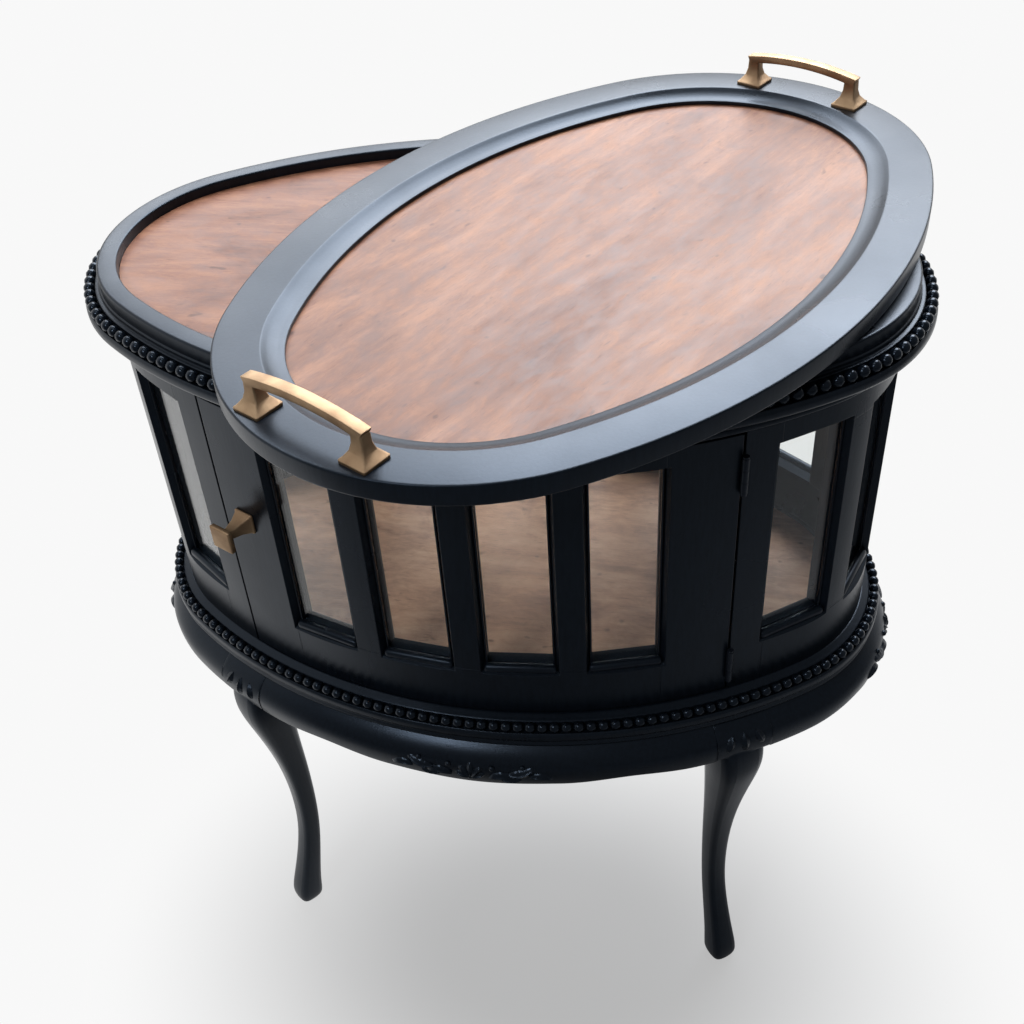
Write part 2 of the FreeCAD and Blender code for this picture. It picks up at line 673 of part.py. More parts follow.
def handle(end):
    """A bowed bar on two flared square feet; end is 1 or -1 along the tray."""
    reach = end * (TRAY_HALF_LENGTH - HANDLE_BACK)
    half = HANDLE_PITCH / 2.0
    crown = TRAY_HEIGHT + HANDLE_RISE
    tip = half + HANDLE_OVERHANG
    under = half + HANDLE_OVERHANG / 2.0
    tip_high = crown - HANDLE_BOW
    under_high = tip_high - HANDLE_DEPTH
    outer = Part.Arc(Vector(0, -tip, tip_high), Vector(0, 0, crown), Vector(0, tip, tip_high))
    middle = Vector(0, 0, crown - HANDLE_DEPTH)
    inner = Part.Arc(Vector(0, under, under_high), middle, Vector(0, -under, under_high))
    near_end = Part.LineSegment(Vector(0, tip, tip_high), Vector(0, under, under_high))
    far_end = Part.LineSegment(Vector(0, -under, under_high), Vector(0, -tip, tip_high))
    outline = Part.Wire([edge.toShape() for edge in (outer, near_end, inner, far_end)])
    bar = Part.Face(outline).extrude(Vector(HANDLE_BAR, 0, 0))
    bar.translate(Vector(reach - HANDLE_BAR / 2.0, 0, 0))
    wide = HANDLE_PLATE / 2.0
    neck = HANDLE_BAR / 2.0
    steps = (
        (0.0, wide, wide),
        (0.1, wide, wide),
        (0.14, wide - 1.5, wide - 1.5),
        (0.37, neck + 2.0, neck + 2.5),
        (0.62, neck + 0.2, neck + 1.0),
        (1.0, neck - 0.1, neck + 0.6),
    )
    foot_height = crown - TRAY_HEIGHT - HANDLE_BOW - HANDLE_DEPTH / 2.0
    for side in (-1, 1):
        spot = (reach, side * half)
        rings = [square(x, y, spot, TRAY_HEIGHT + share * foot_height, 1.0) for share, x, y in steps]
        bar = bar.fuse(stack(rings))
    bolts = [bolt for bolt in handle_screws(0.0) if bolt.BoundBox.Center.x * end > 0]
    return bar.removeSplitter().cut(bolts)


def handle_screws(grow):
    """Countersunk from under the tray; grow is the play of their holes."""
    screws = []
    for end in (-1, 1):
        for side in (-1, 1):
            spot = (end * (TRAY_HALF_LENGTH - HANDLE_BACK), side * HANDLE_PITCH / 2.0)
            tip = (spot[0], spot[1], TRAY_HEIGHT + BOLT_BITE)
            shank = rod(BOLT_RADIUS + grow, (spot[0], spot[1], BOLT_RADIUS / 4.0), tip)
            head_low = (spot[0], spot[1], BOLT_RADIUS / 4.0 - 3.0 * grow)
            head = rod(2.0 * BOLT_RADIUS + grow, head_low, (spot[0], spot[1], 1.3 * BOLT_RADIUS))
            screws.append(shank.fuse(head))
    return screws


def tray():
    inner = -TRAY_BORDER - TRAY_FLANK
    seat_low = TRAY_UNDERSIDE
    seat_high = seat_low + TRAY_PANEL
    groove_high = seat_high + GROOVE_FIT
    drop = TRAY_HEIGHT - groove_high - TRAY_STEP
    flank = ((0.056, 0.068), (0.333, 0.523), (0.611, 0.818), (1.0, 1.0))
    slope = [(-TRAY_BORDER - along * TRAY_FLANK, TRAY_HEIGHT - down * drop) for along, down in flank]
    rim = TRAY.sweep([
        (-2.0, 0.0),
        (0.0, 2.0),
        (0.0, TRAY_HEIGHT - 2.5),
        (-0.8, TRAY_HEIGHT - 0.8),
        (-2.5, TRAY_HEIGHT),
        (-TRAY_BORDER + 1.0, TRAY_HEIGHT),
    ] + slope + [
        (inner, groove_high),
        (inner + TRAY_REBATE, groove_high),
        (inner + TRAY_REBATE, seat_low),
        (inner - TRAY_LEDGE, seat_low),
        (inner - TRAY_LEDGE, 0.0),
    ])
    save("tray_rim", lay(rim.cut(handle_screws(BOLT_PLAY))))
    save("tray_panel", lay(TRAY.disc(inner + TRAY_REBATE - GROOVE_FIT, seat_low, seat_high)))
    save("tray_handle_near", lay(handle(-1)))
    save("tray_handle_far", lay(handle(1)))
    save("tray_handle_screws", lay(Part.makeCompound(handle_screws(0.0))))


legs()
aprons()
base()
top()
POST_SCREWS, DOOR_SCREWS = hinges()
fixed_walls(POST_SCREWS)
door_stop()
door(DOOR_SCREWS)
tray()
AXIS = BODY.point(HINGE_ANGLE, FACE + HINGE_STAND)
print("door hinge axis at", round(AXIS.x, 3), round(AXIS.y, 3))
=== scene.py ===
# %% [markdown]
# # An oval glazed cabinet with a lift-off tray
# The solids of the cabinet come in as a fixed frame, in metres, with the door facing -Y and +Z up.
# This lesson sets a camera and a plain studio round them, gives every solid a finish, and then
# models what the solids leave plain or leave out: softened mouldings, the tray's frame, handles, rows
# of beads, aprons, legs, leaf carving and sills.

# %% Load the solids
import json
import math

import bpy
from mathutils import Matrix, Vector


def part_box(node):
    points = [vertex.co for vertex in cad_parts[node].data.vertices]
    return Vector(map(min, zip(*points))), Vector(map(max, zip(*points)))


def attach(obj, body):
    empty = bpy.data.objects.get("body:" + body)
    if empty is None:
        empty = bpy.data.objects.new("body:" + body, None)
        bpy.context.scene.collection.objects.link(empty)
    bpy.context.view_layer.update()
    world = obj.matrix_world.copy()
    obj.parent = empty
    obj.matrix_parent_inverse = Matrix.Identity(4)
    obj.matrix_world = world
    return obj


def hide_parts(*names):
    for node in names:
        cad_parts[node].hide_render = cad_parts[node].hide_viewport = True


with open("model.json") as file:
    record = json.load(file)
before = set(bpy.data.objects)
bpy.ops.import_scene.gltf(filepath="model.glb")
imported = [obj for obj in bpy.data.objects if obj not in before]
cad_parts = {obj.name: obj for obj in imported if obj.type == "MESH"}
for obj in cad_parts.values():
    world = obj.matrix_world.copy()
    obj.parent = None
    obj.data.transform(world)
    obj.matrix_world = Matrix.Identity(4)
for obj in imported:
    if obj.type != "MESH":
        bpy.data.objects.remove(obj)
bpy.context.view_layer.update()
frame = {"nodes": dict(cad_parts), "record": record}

nodes = frame["nodes"]

# %% [markdown]
# ## The camera
# The picture looks down on the cabinet from the front, a little from the right, with a slight roll.
# A camera's matrix is three directions and a place, so the look is written as three angles. That is
# easier to adjust than a target point, because the roll stays apart from the aim.

# %% Set the camera
EYE = Vector((0.2317, -0.9772, 1.3439))
YAW = math.radians(-13.38)
PITCH = math.radians(40.46)
ROLL = math.radians(-4.05)
LENS_MM = 45.38
SENSOR_MM = 36.0
SIGHT_END = 50.0


def look(yaw, pitch, roll):
    """The camera's turn: right, up and backward directions as columns."""
    forward = Vector((math.sin(yaw) * math.cos(pitch), math.cos(yaw) * math.cos(pitch), -math.sin(pitch)))
    level = Vector((math.cos(yaw), -math.sin(yaw), 0.0))
    above = level.cross(forward)
    right = level * math.cos(roll) + above * math.sin(roll)
    up = above * math.cos(roll) - level * math.sin(roll)
    return Matrix((right, up, -forward)).transposed()


bpy.ops.object.select_all(action="DESELECT")
bpy.ops.object.camera_add(location=EYE, rotation=look(YAW, PITCH, ROLL).to_euler())
camera = bpy.context.object
camera.data.lens = LENS_MM
camera.data.sensor_width = SENSOR_MM
camera.data.clip_end = SIGHT_END
bpy.context.scene.camera = camera
print("camera at", [round(v, 3) for v in camera.location])

# %% [markdown]
# ## Helpers for shader nodes
# Every finish is a tree of shader nodes. By hand they are added from a menu and wired one by one.
# Here one function adds a node with its settings, and the sums that several finishes share have a
# helper of their own, so that each finish reads as a short list.

# %% Helpers for shader nodes


def node_maker(tree):
    """A function that adds a shader node and sets its properties and sockets by name."""
    def add(kind, **values):
        node = tree.nodes.new("ShaderNode" + kind)
        for key, value in values.items():
            if hasattr(node, key):
                setattr(node, key, value)
            else:
                node.inputs[key.replace("_", " ")].default_value = value
        return node

    return add


def new_material(name):
    """An empty node material, its node maker and its link maker."""
    material = bpy.data.materials.new(name)
    material.use_nodes = True
    tree = material.node_tree
    tree.nodes.clear()
    return material, node_maker(tree), tree.links.new


def larger(add, link, one, other):
    most = add("Math", operation="MAXIMUM")
    link(one, most.inputs[0])
    link(other, most.inputs[1])
    return most.outputs["Value"]


def times(add, link, one, other):
    product = add("Math", operation="MULTIPLY")
    link(one, product.inputs[0])
    link(other, product.inputs[1])
    return product.outputs["Value"]


def ranged(add, link, value, low, high, start, stop, course="LINEAR"):
    """A value that runs from start at low to stop at high."""
    band = add("MapRange", interpolation_type=course)
    for socket, number in (("From Min", low), ("From Max", high), ("To Min", start), ("To Max", stop)):
        band.inputs[socket].default_value = number
    link(value, band.inputs["Value"])
    return band.outputs["Result"]


def eased(add, link, value, low, high, start=0.0, stop=1.0):
    """The same with a soft beginning and end."""
    return ranged(add, link, value, low, high, start, stop, "SMOOTHSTEP")


def two_tones(add, link, value, low, low_colour, high, high_colour):
    """A colour that runs from one tone at low to another at high."""
    tone = add("ValToRGB")
    for stop, place, colour in zip(tone.color_ramp.elements, (low, high), (low_colour, high_colour)):
        stop.position = place
        stop.color = colour
    link(value, tone.inputs["Fac"])
    return tone.outputs["Color"]


print("shader helpers: node_maker, new_material, larger, times, ranged, eased, two_tones")

# %% [markdown]
# ## Floor and backdrop
# The floor is grey and takes the cabinet's shadow. Round the cabinet the camera also sees a painted
# shadow: a soft dark oval where only part of an even white is mixed into the floor. Further out the
# camera sees the floor turn to that even white, which lights nothing. Mirrors and glass see that white
# too, but only behind the cabinet and to its left: the near side of the studio stays dim, as a room
# does behind the person who looks. A white sheet under strong lamps would look the same behind the
# cabinet, but those lamps would light the cabinet as well.

# %% Floor and backdrop
FLOOR_SIZE = 16.0
FLOOR_DROP = 0.0005
FLOOR_COLOUR = (0.21, 0.21, 0.21, 1.0)
BACKDROP_COLOUR = (0.94, 0.94, 0.94, 1.0)
# Painted shadow: an oval round this middle, squeezed front to back. Inside SHADOW_INNER only SHADOW_LIFT
# of the white is mixed into the grey floor, and past SHADOW_OUTER all of it is.
SHADOW_MIDDLE = (0.06, -0.19, 0.0)
SHADOW_NARROWING = (1.0, 1.29, 1.0)
SHADOW_INNER = 0.11
SHADOW_OUTER = 0.55
SHADOW_LIFT = 0.45
WHITE_SIDE = (-0.6, 1.0, 0.0)
WHITE_ON_FLOOR = (-0.5, 0.1)
WHITE_IN_AIR = (-0.1, 0.4)
AIR_COLOUR = (0.97, 0.98, 1.0, 1.0)
AIR_STRENGTH = 0.2


def white_share(add, link, place, low, high):
    """How far a ray sees white: the camera everywhere, mirrors and glass at the back and the left."""
    path = add("LightPath")
    indirect = larger(add, link, path.outputs["Is Glossy Ray"], path.outputs["Is Transmission Ray"])
    depth = add("VectorMath", operation="DOT_PRODUCT")
    depth.inputs[1].default_value = WHITE_SIDE
    link(place, depth.inputs[0])
    behind = times(add, link, indirect, eased(add, link, depth.outputs["Value"], low, high))
    return larger(add, link, path.outputs["Is Camera Ray"], behind)


def floor_finish():
    material, add, link = new_material("pale_floor")
    place = add("TexCoord")
    shift = add("VectorMath", operation="SUBTRACT")
    shift.inputs[1].default_value = SHADOW_MIDDLE
    narrow = add("VectorMath", operation="MULTIPLY")
    narrow.inputs[1].default_value = SHADOW_NARROWING
    distance = add("VectorMath", operation="LENGTH")
    grain = add("TexNoise", Scale=3.0, Detail=3.0)
    tint = add("MixRGB", blend_type="MULTIPLY", Fac=1.0, Color1=FLOOR_COLOUR)
    matt = add("BsdfDiffuse")
    even = add("Emission", Color=BACKDROP_COLOUR)
    blend = add("MixShader")
    out = add("OutputMaterial")
    link(place.outputs["Object"], shift.inputs[0])
    link(shift.outputs["Vector"], narrow.inputs[0])
    link(narrow.outputs["Vector"], distance.inputs[0])
    # painted shadow: the share of white drops to SHADOW_LIFT in the oval round the cabinet
    spread = eased(add, link, distance.outputs["Value"], SHADOW_INNER, SHADOW_OUTER, SHADOW_LIFT, 1.0)
    seen = white_share(add, link, place.outputs["Object"], *WHITE_ON_FLOOR)
    link(times(add, link, spread, seen), blend.inputs["Fac"])
    link(place.outputs["Object"], grain.inputs["Vector"])
    link(eased(add, link, grain.outputs["Fac"], 0.0, 1.0, 0.98, 1.0), tint.inputs["Color2"])
    link(tint.outputs["Color"], matt.inputs["Color"])
    link(matt.outputs["BSDF"], blend.inputs[1])
    link(even.outputs["Emission"], blend.inputs[2])
    link(blend.outputs["Shader"], out.inputs["Surface"])
    return material


def studio_air():
    """A dim even light all round, with the white backdrop in it for what is seen or mirrored."""
    world = bpy.data.worlds.new("studio_air")
    world.use_nodes = True
    tree = world.node_tree
    tree.nodes.clear()
    add = node_maker(tree)
    link = tree.links.new
    direction = add("TexCoord")
    light = add("Background", Color=AIR_COLOUR, Strength=AIR_STRENGTH)
    backdrop = add("Background", Color=BACKDROP_COLOUR, Strength=1.0)
    blend = add("MixShader")
    out = add("OutputWorld")
    link(white_share(add, link, direction.outputs["Generated"], *WHITE_IN_AIR), blend.inputs["Fac"])
    link(light.outputs["Background"], blend.inputs[1])
    link(backdrop.outputs["Background"], blend.inputs[2])
    link(blend.outputs["Shader"], out.inputs["Surface"])
    return world


bpy.ops.object.select_all(action="DESELECT")
bpy.ops.mesh.primitive_plane_add(size=FLOOR_SIZE, location=(0.0, 0.0, -FLOOR_DROP))
floor = bpy.context.object
floor.name = "studio_floor"
bpy.ops.object.transform_apply(location=True)
floor.data.materials.append(floor_finish())
bpy.context.scene.world = studio_air()
print("floor:", FLOOR_SIZE, "m across")

# %% [markdown]
# ## Lights
# Black satin paint shows mostly what it mirrors. Seen from above, every level face mirrors what is
# behind the cabinet, so a wide cool panel of light leans there like an open sky, with a brighter
# window at its right, and the upright faces stay dark. A small light overhead and another in front put
# a glint on beads, sills and carving. Lamps at the front alone would make the paint look grey and flat.

# %% Lights
SOFT_LIGHT = (0.88, 0.93, 1.0)
LIGHTS = (
    ("sky_panel", (-0.23, 2.31, 2.69), (0.09, 0.0, 0.8), 3.8, 2.3, 137.0),
    ("bright_window", (0.41, 2.03, 2.85), (0.09, 0.0, 0.8), 2.2, 1.6, 92.0),
    ("overhead", (-0.3, -0.6, 3.3), (-0.1, -0.1, 0.6), 1.2, 0.7, 8.0),
    ("front_glint", (-1.0, -2.3, 2.9), (0.0, 0.0, 0.5), 0.8, 0.5, 26.0),
)


def soft_light(name, place, target, width, height, power):
    """A flat lamp at a place that faces a target, in metres and watts."""
    bpy.ops.object.light_add(type="AREA", location=place)
    lamp = bpy.context.object
    lamp.name = name
    lamp.rotation_euler = (Vector(target) - Vector(place)).to_track_quat("-Z", "Y").to_euler()
    lamp.data.shape = "RECTANGLE"
    lamp.data.size = width
    lamp.data.size_y = height
    lamp.data.energy = power
    lamp.data.color = SOFT_LIGHT


for light in LIGHTS:
    soft_light(*light)
bpy.context.scene.view_settings.view_transform = "Standard"
print("soft lights:", len(LIGHTS))

# %% [markdown]
# ## Black satin paint
# The frames are brushed with black paint. It is not one flat black: the brush leaves fine streaks,
# the sheen changes a little from place to place, and edges catch light because they are never sharp.
# A picture of brushed paint could be wrapped round each piece. Noise needs no wrapping and no file:
# streaks come from a stretched noise, and the Bevel node rounds the edges in the shading alone.
# The beads are glossier, and the insides of the frames are matt.

# %% Black paint
BLUE_SHEEN = (0.64, 0.79, 1.0, 1.0)
PAINT_IOR = 1.385


def black_paint_finish(name, deep, thin, edge, smooth, rough):
    """Tones run from deep to thin paint, and the sheen from a smooth to a rough value."""
    material, add, link = new_material(name)
    place = add("TexCoord")
    stretch = add("Mapping")
    stretch.inputs["Scale"].default_value = (90.0, 90.0, 14.0)
    streak = add("TexNoise", Scale=4.0, Detail=6.0, Roughness=0.62)
    cloud = add("TexNoise", Scale=7.0, Detail=4.0, Roughness=0.55)
    rounding = add("Bevel", samples=4, Radius=edge)
    relief = add("Bump", Strength=0.12, Distance=0.0006)
    paint = add("BsdfPrincipled", IOR=PAINT_IOR)
    paint.inputs["Specular Tint"].default_value = BLUE_SHEEN
    out = add("OutputMaterial")
    link(place.outputs["Object"], stretch.inputs["Vector"])
    link(stretch.outputs["Vector"], streak.inputs["Vector"])
    link(place.outputs["Object"], cloud.inputs["Vector"])
    link(two_tones(add, link, streak.outputs["Fac"], 0.3, deep, 0.72, thin), paint.inputs["Base Color"])
    link(ranged(add, link, cloud.outputs["Fac"], 0.3, 0.7, smooth, rough), paint.inputs["Roughness"])
    link(streak.outputs["Fac"], relief.inputs["Height"])
    link(rounding.outputs["Normal"], relief.inputs["Normal"])
    link(relief.outputs["Normal"], paint.inputs["Normal"])
    link(paint.outputs["BSDF"], out.inputs["Surface"])
    return material


DEEP_BLACK = (0.002, 0.003, 0.005, 1.0)
THIN_BLACK = (0.005, 0.008, 0.013, 1.0)
HINGE_DEEP = (0.004, 0.005, 0.008, 1.0)
HINGE_THIN = (0.012, 0.014, 0.020, 1.0)
black_paint = black_paint_finish("black_paint", DEEP_BLACK, THIN_BLACK, 0.0012, 0.24, 0.38)
bead_paint = black_paint_finish("bead_paint", DEEP_BLACK, THIN_BLACK, 0.0003, 0.15, 0.25)
matt_paint = black_paint_finish("matt_paint", DEEP_BLACK, THIN_BLACK, 0.0004, 0.80, 0.92)
hinge_paint = black_paint_finish("hinge_paint", HINGE_DEEP, HINGE_THIN, 0.0004, 0.24, 0.38)
print("paint:", black_paint.name, bead_paint.name, matt_paint.name, hinge_paint.name)

# %% [markdown]
# ## Mahogany
# The three panels are red-brown wood under a thin satin varnish. Wood has long soft bands of tone,
# finer streaks, a short mottle and dark pores, all along the grain. Old stains and a few dark specks
# lie over them. A picture of a board could be laid on each panel, but noise has no seams and needs no
# file: each of these is one noise, pulled long by a Mapping node. The tray lies askew, so its Mapping
# node turns the grain to run along the tray. The floor inside the cabinet is the same wood with much
# paler tones, as painted light: they stand in for the light that reaches it through the glass.

# %% Mahogany
TRAY_TURN = math.radians(61.8)
GRAIN_DRIFT = 0.37
STAIN_TONE = (0.46, 0.40, 0.42, 1.0)
PORE_TONE = (0.40, 0.32, 0.28, 1.0)
SPECK_TONE = (0.35, 0.30, 0.28, 1.0)
VARNISH_IOR = 1.34


def mahogany_finish(name, turn, tones, shift):
    """Tones run from the dark streaks to the pale ones; shift moves on to another stretch of grain."""
    material, add, link = new_material(name)
    place = add("TexCoord")
    turned = add("Mapping", vector_type="POINT")
    turned.inputs["Rotation"].default_value = (0.0, 0.0, -turn)
    turned.inputs["Location"].default_value = (shift, GRAIN_DRIFT * shift, 0.0)
    link(place.outputs["Object"], turned.inputs["Vector"])

    def pulled(scale, detail, rough, twist=0.0):
        long = add("Mapping")
        long.inputs["Scale"].default_value = scale
        noise = add("TexNoise", Scale=1.0, Detail=detail, Roughness=rough, Distortion=twist)
        link(turned.outputs["Vector"], long.inputs["Vector"])
        link(long.outputs["Vector"], noise.inputs["Vector"])
        return noise.outputs["Fac"]

    bands = pulled((3.4, 15.0, 4.0), 5.0, 0.6, 1.4)
    streaks = pulled((11.0, 95.0, 20.0), 6.0, 0.75, 0.4)
    mottle = pulled((34.0, 70.0, 30.0), 6.0, 0.75, 0.5)
    pores = pulled((70.0, 700.0, 60.0), 2.0, 0.5)
    stains = pulled((5.0, 8.0, 3.0), 5.0, 0.65, 0.8)
    specks = pulled((55.0, 90.0, 40.0), 1.0, 0.5)
    tone = add("ValToRGB")
    ramp = tone.color_ramp.elements
    ramp[0].position = 0.30
    ramp[0].color = tones[0]
    ramp[1].position = 0.70
    ramp[1].color = tones[2]
    ramp.new(0.5).color = tones[1]
    with_streaks = add("MixRGB", blend_type="MIX", Fac=0.34)
    with_mottle = add("MixRGB", blend_type="OVERLAY", Fac=0.62)
    stained = add("MixRGB", blend_type="MULTIPLY", Color2=STAIN_TONE)
    pored = add("MixRGB", blend_type="MULTIPLY", Color2=PORE_TONE)
    specked = add("MixRGB", blend_type="MULTIPLY", Color2=SPECK_TONE)
    relief = add("Bump", Strength=0.16, Distance=0.0005, invert=True)
    wood = add("BsdfPrincipled", IOR=VARNISH_IOR)
    out = add("OutputMaterial")
    link(bands, with_streaks.inputs["Color1"])
    link(streaks, with_streaks.inputs["Color2"])
    link(with_streaks.outputs["Color"], with_mottle.inputs["Color1"])
    link(mottle, with_mottle.inputs["Color2"])
    link(with_mottle.outputs["Color"], tone.inputs["Fac"])
    link(tone.outputs["Color"], stained.inputs["Color1"])
    link(eased(add, link, stains, 0.52, 0.72, 0.0, 0.75), stained.inputs["Fac"])
    pore_depth = eased(add, link, pores, 0.62, 0.74, 0.0, 0.6)
    link(pore_depth, pored.inputs["Fac"])
    link(stained.outputs["Color"], pored.inputs["Color1"])
    link(pored.outputs["Color"], specked.inputs["Color1"])
    link(eased(add, link, specks, 0.70, 0.80, 0.0, 0.8), specked.inputs["Fac"])
    link(specked.outputs["Color"], wood.inputs["Base Color"])
    link(eased(add, link, mottle, 0.3, 0.7, 0.36, 0.52), wood.inputs["Roughness"])
    link(pore_depth, relief.inputs["Height"])
    link(relief.outputs["Normal"], wood.inputs["Normal"])
    link(wood.outputs["BSDF"], out.inputs["Surface"])
    return material


TRAY_TONES = ((0.11, 0.042, 0.025, 1.0), (0.23, 0.100, 0.056, 1.0), (0.40, 0.195, 0.110, 1.0))
TOP_TONES = ((0.12, 0.045, 0.026, 1.0), (0.24, 0.102, 0.058, 1.0), (0.38, 0.185, 0.105, 1.0))
# Painted light: the floor inside is the same mahogany as the tray, but its tones are more than twice as
# light, standing in for the light on it.
INSIDE_TONES_PAINTED_LIGHT = ((0.32, 0.150, 0.080, 1.0), (0.58, 0.300, 0.170, 1.0), (0.76, 0.440, 0.270, 1.0))
tray_wood = mahogany_finish("tray_mahogany", TRAY_TURN, TRAY_TONES, 0.0)
top_wood = mahogany_finish("top_mahogany", 0.0, TOP_TONES, 0.9)
floor_wood_painted_light = mahogany_finish("inside_mahogany_painted_light", 0.0, INSIDE_TONES_PAINTED_LIGHT, 2.1)
print("wood:", tray_wood.name, top_wood.name, floor_wood_painted_light.name)

# %% [markdown]
# ## Glass, brass and steel
# The panes are thin clear glass. Glass that bends every ray would leave the inside dark, so light that
# only passes through on its way to something else goes straight on, and the eye still sees gloss. The
# handles and knob are satin brass with a fine brushed sheen, and the screws are plain steel. Both
# metals are one function with different tones.

# %% Glass, brass and steel
GLASS_TINT = (0.965, 0.985, 0.98, 1.0)
GLASS_SHADE = (0.93, 0.955, 0.95, 1.0)
GLASS_IOR = 1.45


def glass_finish():
    material, add, link = new_material("clear_glass")
    place = add("TexCoord")
    ripple = add("TexNoise", Scale=26.0, Detail=1.0)
    relief = add("Bump", Strength=0.02, Distance=0.001)
    pane = add("BsdfPrincipled", Roughness=0.01, IOR=GLASS_IOR)
    pane.inputs["Base Color"].default_value = GLASS_TINT
    pane.inputs["Transmission Weight"].default_value = 1.0
    through = add("BsdfTransparent", Color=GLASS_SHADE)
    path = add("LightPath")
    passing = larger(add, link, path.outputs["Is Shadow Ray"], path.outputs["Is Diffuse Ray"])
    blend = add("MixShader")
    out = add("OutputMaterial")
    link(place.outputs["Object"], ripple.inputs["Vector"])
    link(ripple.outputs["Fac"], relief.inputs["Height"])
    link(relief.outputs["Normal"], pane.inputs["Normal"])
    link(passing, blend.inputs["Fac"])
    link(pane.outputs["BSDF"], blend.inputs[1])
    link(through.outputs["BSDF"], blend.inputs[2])
    link(blend.outputs["Shader"], out.inputs["Surface"])
    return material


def metal_finish(name, pale, deep, smooth, rough, edge):
    """Tones run from deep to pale metal, and the sheen from a smooth to a rough value."""
    material, add, link = new_material(name)
    place = add("TexCoord")
    stretch = add("Mapping")
    stretch.inputs["Scale"].default_value = (140.0, 140.0, 900.0)
    brush = add("TexNoise", Scale=1.0, Detail=4.0, Roughness=0.6)
    cloud = add("TexNoise", Scale=55.0, Detail=3.0)
    rounding = add("Bevel", samples=4, Radius=edge)
    relief = add("Bump", Strength=0.08, Distance=0.0002)
    metal = add("BsdfPrincipled", Metallic=1.0)
    out = add("OutputMaterial")
    link(place.outputs["Object"], stretch.inputs["Vector"])
    link(stretch.outputs["Vector"], brush.inputs["Vector"])
    link(place.outputs["Object"], cloud.inputs["Vector"])
    link(two_tones(add, link, cloud.outputs["Fac"], 0.35, deep, 0.65, pale), metal.inputs["Base Color"])
    link(ranged(add, link, brush.outputs["Fac"], 0.0, 1.0, smooth, rough), metal.inputs["Roughness"])
    link(brush.outputs["Fac"], relief.inputs["Height"])
    link(rounding.outputs["Normal"], relief.inputs["Normal"])
    link(relief.outputs["Normal"], metal.inputs["Normal"])
    link(metal.outputs["BSDF"], out.inputs["Surface"])
    return material


clear_glass = glass_finish()
PALE_BRASS = (0.42, 0.29, 0.175, 1.0)
DEEP_BRASS = (0.30, 0.195, 0.115, 1.0)
PALE_STEEL = (0.56, 0.55, 0.53, 1.0)
DEEP_STEEL = (0.40, 0.39, 0.37, 1.0)
satin_brass = metal_finish("satin_brass", PALE_BRASS, DEEP_BRASS, 0.50, 0.64, 0.0009)
screw_steel = metal_finish("screw_steel", PALE_STEEL, DEEP_STEEL, 0.25, 0.45, 0.0003)
print("glass and metals:", clear_glass.name, satin_brass.name, screw_steel.name)

# %% [markdown]
# ## Dress the solids
# The record names a material slot for each solid. Each solid could be dressed by hand, but a loop over
# the record leaves none out. Most slots are one finish. The wood slot is three, because each panel is
# its own board with its own grain, and the floor inside has paler tones as painted light.

# %% Dress the solids
FINISHES = {
    "black_paint": black_paint,
    "mahogany": tray_wood,
    "clear_glass": clear_glass,
    "satin_brass": satin_brass,
    "dark_hinge": hinge_paint,
    "screw_steel": screw_steel,
}
BOARDS = {"tray_panel": tray_wood, "top_panel": top_wood, "floor_panel": floor_wood_painted_light}
for row in frame["record"]["subparts"]:
    solid = nodes[row["node"]]
    solid.data.materials.clear()
    solid.data.materials.append(BOARDS.get(row["node"], FINISHES[row["material_slot"]]))

# %% [markdown]
# ## The oval that everything follows
# The cabinet's plan is four arcs that meet smoothly. An ellipse would look much the same, but a ring
# at a distance from an ellipse is no ellipse. A ring outside or inside these arcs keeps the same four
# centres, so one small class serves the rim, the mouldings, the beads and the apron. The tray is an
# oval of its own, made about its own middle and then laid on the rim.

# %% The two ovals
UP = Vector((0.0, 0.0, 1.0))
FULL_TURN = 2.0 * math.pi
ROUND_OFF = 1e-9


class Oval:
    def __init__(self, half_length, half_width, end_radius):
        end = half_length - end_radius
        reach = half_width - end_radius
        side = (end ** 2 - reach ** 2) / (2.0 * reach)
        turn = math.atan2(end, side)
        self.arcs = (
            (Vector((0.0, side, 0.0)), half_width + side, -turn, turn),
            (Vector((end, 0.0, 0.0)), end_radius, turn, math.pi - turn),
            (Vector((0.0, -side, 0.0)), half_width + side, math.pi - turn, math.pi + turn),
            (Vector((-end, 0.0, 0.0)), end_radius, math.pi + turn, FULL_TURN - turn),
        )

    def arc(self, angle):
        """The centre and radius of the arc whose outward direction is at an angle from -Y toward +X."""
        for centre, radius, start, stop in self.arcs:
            if (angle - start) % FULL_TURN <= stop - start:
                return centre, radius
        return self.arcs[0][:2]

    def point(self, angle, offset, height):
        """A place on a ring outside the oval by an offset."""
        centre, radius = self.arc(angle)
        return centre + Vector((math.sin(angle), -math.cos(angle), 0.0)) * (radius + offset) + UP * height

    def spread(self, first, last, offset, count):
        """Angles from first to last that are evenly spaced along a ring."""
        marks = [first, last]
        for _, _, start, _ in self.arcs:
            marks += [start + turn * FULL_TURN for turn in (-1, 0, 1)]
        marks = sorted(mark for mark in marks if first <= mark <= last)
        spans = []
        for begin, end in zip(marks, marks[1:]):
            radius = self.arc((begin + end) / 2.0)[1]
            spans.append((begin, end, (radius + offset) * (end - begin)))
        step = sum(span[2] for span in spans) / count
        angles = []
        for index in range(count + 1):
            left = index * step
            for begin, end, length in spans:
                if left <= length + ROUND_OFF:
                    angles.append(begin + (end - begin) * left / length)
                    break
                left -= length
        return angles, step


BODY = Oval(half_length=0.360, half_width=0.225, end_radius=0.154)
TRAY = Oval(half_length=0.369, half_width=0.245, end_radius=0.201)
print("once round the rim:", round(BODY.spread(0.0, FULL_TURN, 0.0, 1)[1], 3), "m")

